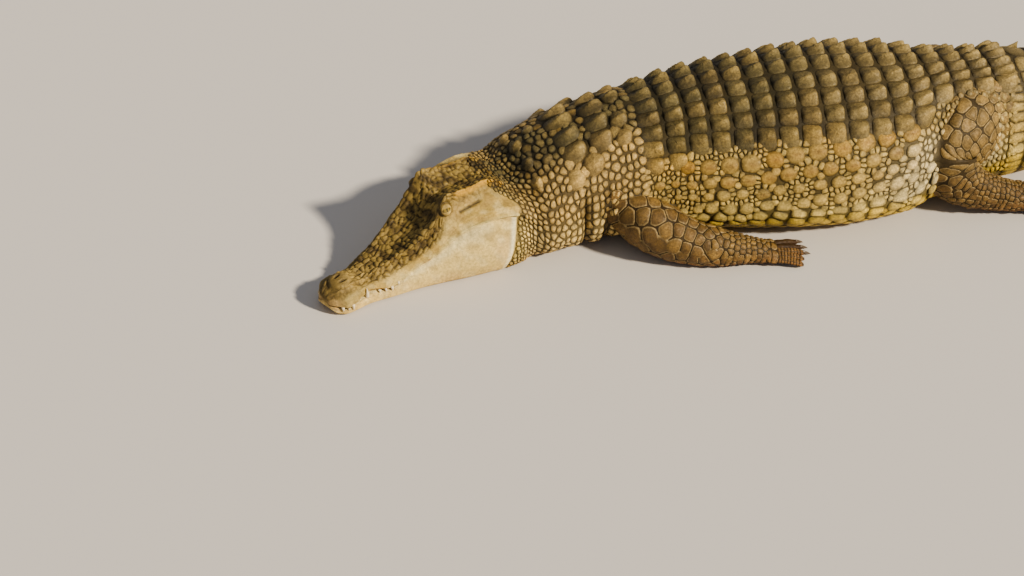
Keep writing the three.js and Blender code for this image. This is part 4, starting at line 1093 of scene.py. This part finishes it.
def on_toes(digits):
    """The tops of a foot's toes as one surface: the first coordinate counts the toes."""
    starts, tips = np.array([d[0] for d in digits]), np.array([d[1] for d in digits])
    reach = np.linalg.norm(tips - starts, axis=1)
    ahead = (tips - starts) / reach[:, None]
    across, upward = side_and_up(ahead)

    def surface(count, phi):
        count, phi = np.broadcast_arrays(np.asarray(count, float), np.asarray(phi, float))
        i = np.clip(np.floor(count).astype(int), 0, len(digits) - 1)
        k = count - i
        direction = across[i] * np.cos(phi)[..., None] + upward[i] * np.sin(phi)[..., None]
        radius = toe_radius(digits[0][2] - 2.4, k, 0.05)
        point = (starts[i] + ahead[i] * (reach[i] * k)[..., None] + direction * radius[..., None]
                 + upward[i] * (toe_arch * np.sin(np.pi * np.clip(k, 0, 1)))[..., None])
        return point, direction
    return surface

leg_nodes = {"foreleg": ("upper_arm", "forearm", "hand"), "hindleg": ("thigh", "shank", "foot")}
for number, (name, limb) in enumerate(limbs.items()):
    rng = np.random.default_rng(130 + number)
    kind, side_name = name.split("_")
    nodes = tuple(part + "_" + side_name for part in leg_nodes[kind])
    samples = limb.centre(np.linspace(0, 1, 60))
    travel = np.concatenate([[0], np.cumsum(np.linalg.norm(np.diff(samples, axis=0), axis=1))]) * 1000
    sites, size = [], []
    at = travel[-1] * 0.04
    while at < travel[-1] * 0.985:
        t = float(np.interp(at, travel, np.linspace(0, 1, 60)))
        # wide plates on the upper arm, folds at the elbow or knee, small scales, then bands again
        banded = bump(t, 0.52, 0.07) + bump(t, 0.93, 0.06)
        banded += 0.7 * bump(t, 0.2, 0.13) if kind == "foreleg" else 0
        pitch = 29 - 15 * step(t, 0.30, 0.55) - 5 * step(t, 0.8, 0.95)
        wide = pitch * (1.1 + 1.6 * banded)
        count = max(8, int(math.pi * limb.sizes(np.array(t)).sum() / wide))
        shift = rng.uniform(0, 1)
        for k in range(count):
            sites.append((t + rng.uniform(-0.18, 0.18) * pitch * (1 - 0.7 * min(banded, 1)) / travel[-1],
                          2 * math.pi * (k + shift + rng.uniform(-0.16, 0.16)) / count))
            size.append(0.5 * (pitch + wide) * rng.uniform(0.62, 0.75))
        at += pitch
    scales(name + "_scales", on_limb(limb), np.array(sites), size, 3.0, 0.0, 134 + number, corner=12.0,
           gap=(1.9, 1.9), uv_origin=(-0.05 - 1.15 * (number % 2), -30.0 - 9 * (number // 2)),
           uv_scale=(1 / 2.5, 1 / 50), slot="leg_hide", nodes=nodes)
    rows = [(i + k, phi) for i in range(len(toes[name])) for k in np.linspace(0.16, 0.9, 10)
            for phi in (0.35, 1.05, 1.75, 2.5)]
    scales(name + "_toe_scales", on_toes(toes[name]), np.array(rows), 5.2, 1.5, 0.0, 150 + number, sides=10,
           corner=8.0, gap=(1.0, 1.0), uv_origin=(-0.4, -44.0 - 4 * number), uv_scale=(1 / 8, 1 / 64),
           slot="leg_hide", nodes=nodes[2:])

# Claws
# A dark horn claw on each of the first three toes of every foot, curved down to the ground.
def grained_material(name, roughness, scale, detail, dark, pale):
    """Horn or ivory with a fine grain between two tones."""
    material, add, finish = new_material(name, {"Roughness": roughness})
    spot = add("TexCoord", {}, "Object")
    grain = add("TexNoise", {"Scale": scale, "Detail": detail, "Vector": spot}, "Fac")
    tone = add("ValToRGB", {"Fac": grain}, "Color")
    for stop, colour in zip(tone.node.color_ramp.elements, (dark, pale)):
        stop.color = (*colour, 1)
    finish({"Base Color": tone})
    return material

claw_horn = grained_material("claw_horn", 0.32, 320, 4, (0.018, 0.012, 0.008), (0.16, 0.11, 0.065))
claw_root, claw_drop, claw_half = 0.007, 0.006, 0.0052
for name in limbs:
    kind, side_name = name.split("_")
    for i, (start, tip_point, _, claw) in enumerate(toes[name][:clawed_toes]):
        ahead = (tip_point - start) / np.linalg.norm(tip_point - start)
        across, upward = side_and_up(ahead)
        v, phi = np.linspace(0, 1, 10)[:, None], circle(14)
        size = claw_half * (1 - v) ** 0.7 + 0.0003
        rings = (tip_point + ahead * (v * (claw + 5) / 1000 - claw_root)[..., None]
                 + upward * (0.003 - v**2 * claw_drop + size * np.sin(phi))[..., None]
                 + across * (size * 0.75 * np.cos(phi))[..., None])
        rings[..., 2] = np.maximum(rings[..., 2], 0.0006)
        dressed(tube(f"claw_{name}_{i + 1}", rings), claw_horn, "claw", leg_nodes[kind][2] + "_" + side_name)

# Eyes
# Glossy olive eyeballs with an upright slit pupil, seen between nearly closed lids.
eye_wet, add, finish = new_material("eye_wet", {"Roughness": 0.08, "Coat Weight": 0.8})
finish({"Base Color": add("Attribute", {}, "Color", attribute_name="marking_and_painted_light")})
for mirror, side_name in both_sides:
    outward, forward, upward = eye_axes(mirror)
    polar, phi = np.linspace(0.02, np.pi - 0.02, 40)[:, None], circle(48)
    bulge = (eye_radius - 2.4) / 1000 * (1 + 0.035 * np.exp(-(polar / 0.5) ** 2))
    eye = tube("eyeball_" + side_name,
               eye_centre[mirror] + outward * (bulge * np.cos(polar) + 0 * phi)[..., None]
               + forward * (bulge * np.sin(polar) * np.cos(phi))[..., None]
               + upward * (bulge * np.sin(polar) * np.sin(phi))[..., None])
    look = np.array([v.co for v in eye.data.vertices]) - eye_centre[mirror]
    look /= np.linalg.norm(look, axis=1, keepdims=True)
    fore, high, out = np.abs(look @ forward), np.abs(look @ upward), look @ outward
    iris = tint(150, 128, 58) * (0.8 + 0.4 * random_waves(look, 0.12, 5))[:, None]
    iris = blend(iris, (70, 56, 26), step(np.hypot(fore, high), 0.5, 0.66))
    paint(eye.data, blend(iris, (12, 10, 8), fade(fore, 0.06, 0.12) * fade(high, 0.4, 0.5) * (out > 0)))
    dressed(eye, eye_wet, "eye", "eye_" + side_name)

# Teeth
# Ivory cones that show outside the closed lips: the front and fifth to eighth upper teeth,
# and the large fourth lower tooth that stands up in a notch beside the snout.
tooth_ivory = grained_material("tooth_ivory", 0.3, 240, 2, (0.55, 0.42, 0.24), (0.86, 0.78, 0.60))
# name, place along the snout, distance from the middle, heights of root and tip, radius
teeth = [("upper_1", 24, 43.5, 28, 13, 4.0), ("upper_2", 37, 50, 27, 14, 3.6),
         ("upper_3", 50, 52, 28, 9, 4.4), ("lower_4", 99, 47.5, 22, 50, 5.2),
         ("upper_5", 132, 56, 34, 23, 2.6), ("upper_6", 148, 61, 33, 21, 2.8),
         ("upper_7", 165, 65, 33, 16, 3.8), ("upper_8", 184, 66.5, 40, 28, 2.8)]
for mirror, side_name in both_sides:
    for label, s, side_mm, z_root, z_tip, radius in teeth:
        v, phi = np.linspace(0, 1, 9)[:, None], circle(14)
        size = radius * (1 - v**1.6) + 0.3
        cone = tube(f"tooth_{label}_{side_name}",
                    place(s + size * np.cos(phi),
                          mirror * (side_mm + 2.2 * np.sin(np.pi * v) + size * np.sin(phi)),
                          z_root + (z_tip - z_root) * v))
        dressed(cone, tooth_ivory, "tooth", "lower_jaw" if label.startswith("lower") else "skull")

# Floor and light
# A pale studio floor, a warm soft key from the front right and a cool fill from the sky.
floor = new_object("floor", [(-14, -14, 0), (14, -14, 0), (14, 14, 0), (-14, 14, 0)], [(0, 1, 2, 3)])
floor.data.materials.append(new_material("floor", {"Base Color": (0.62, 0.58, 0.53, 1), "Roughness": 0.9})[0])
world = bpy.data.worlds.new("studio")
world.use_nodes = True
world.node_tree.nodes["Background"].inputs["Color"].default_value = (0.88, 0.91, 1.0, 1)
world.node_tree.nodes["Background"].inputs["Strength"].default_value = 0.34
bpy.context.scene.world = world
bpy.context.scene.view_settings.look = "AgX - Medium High Contrast"
key = bpy.data.lights.new("key", "SUN")
key.energy = 5.0
key.color = (1.0, 0.90, 0.74)
key.angle = math.radians(5)
key_object = bpy.data.objects.new("key", key)
key_object.rotation_euler = Vector((0.62, -0.62, 0.62)).to_track_quat("Z", "Y").to_euler()
bpy.context.scene.collection.objects.link(key_object)
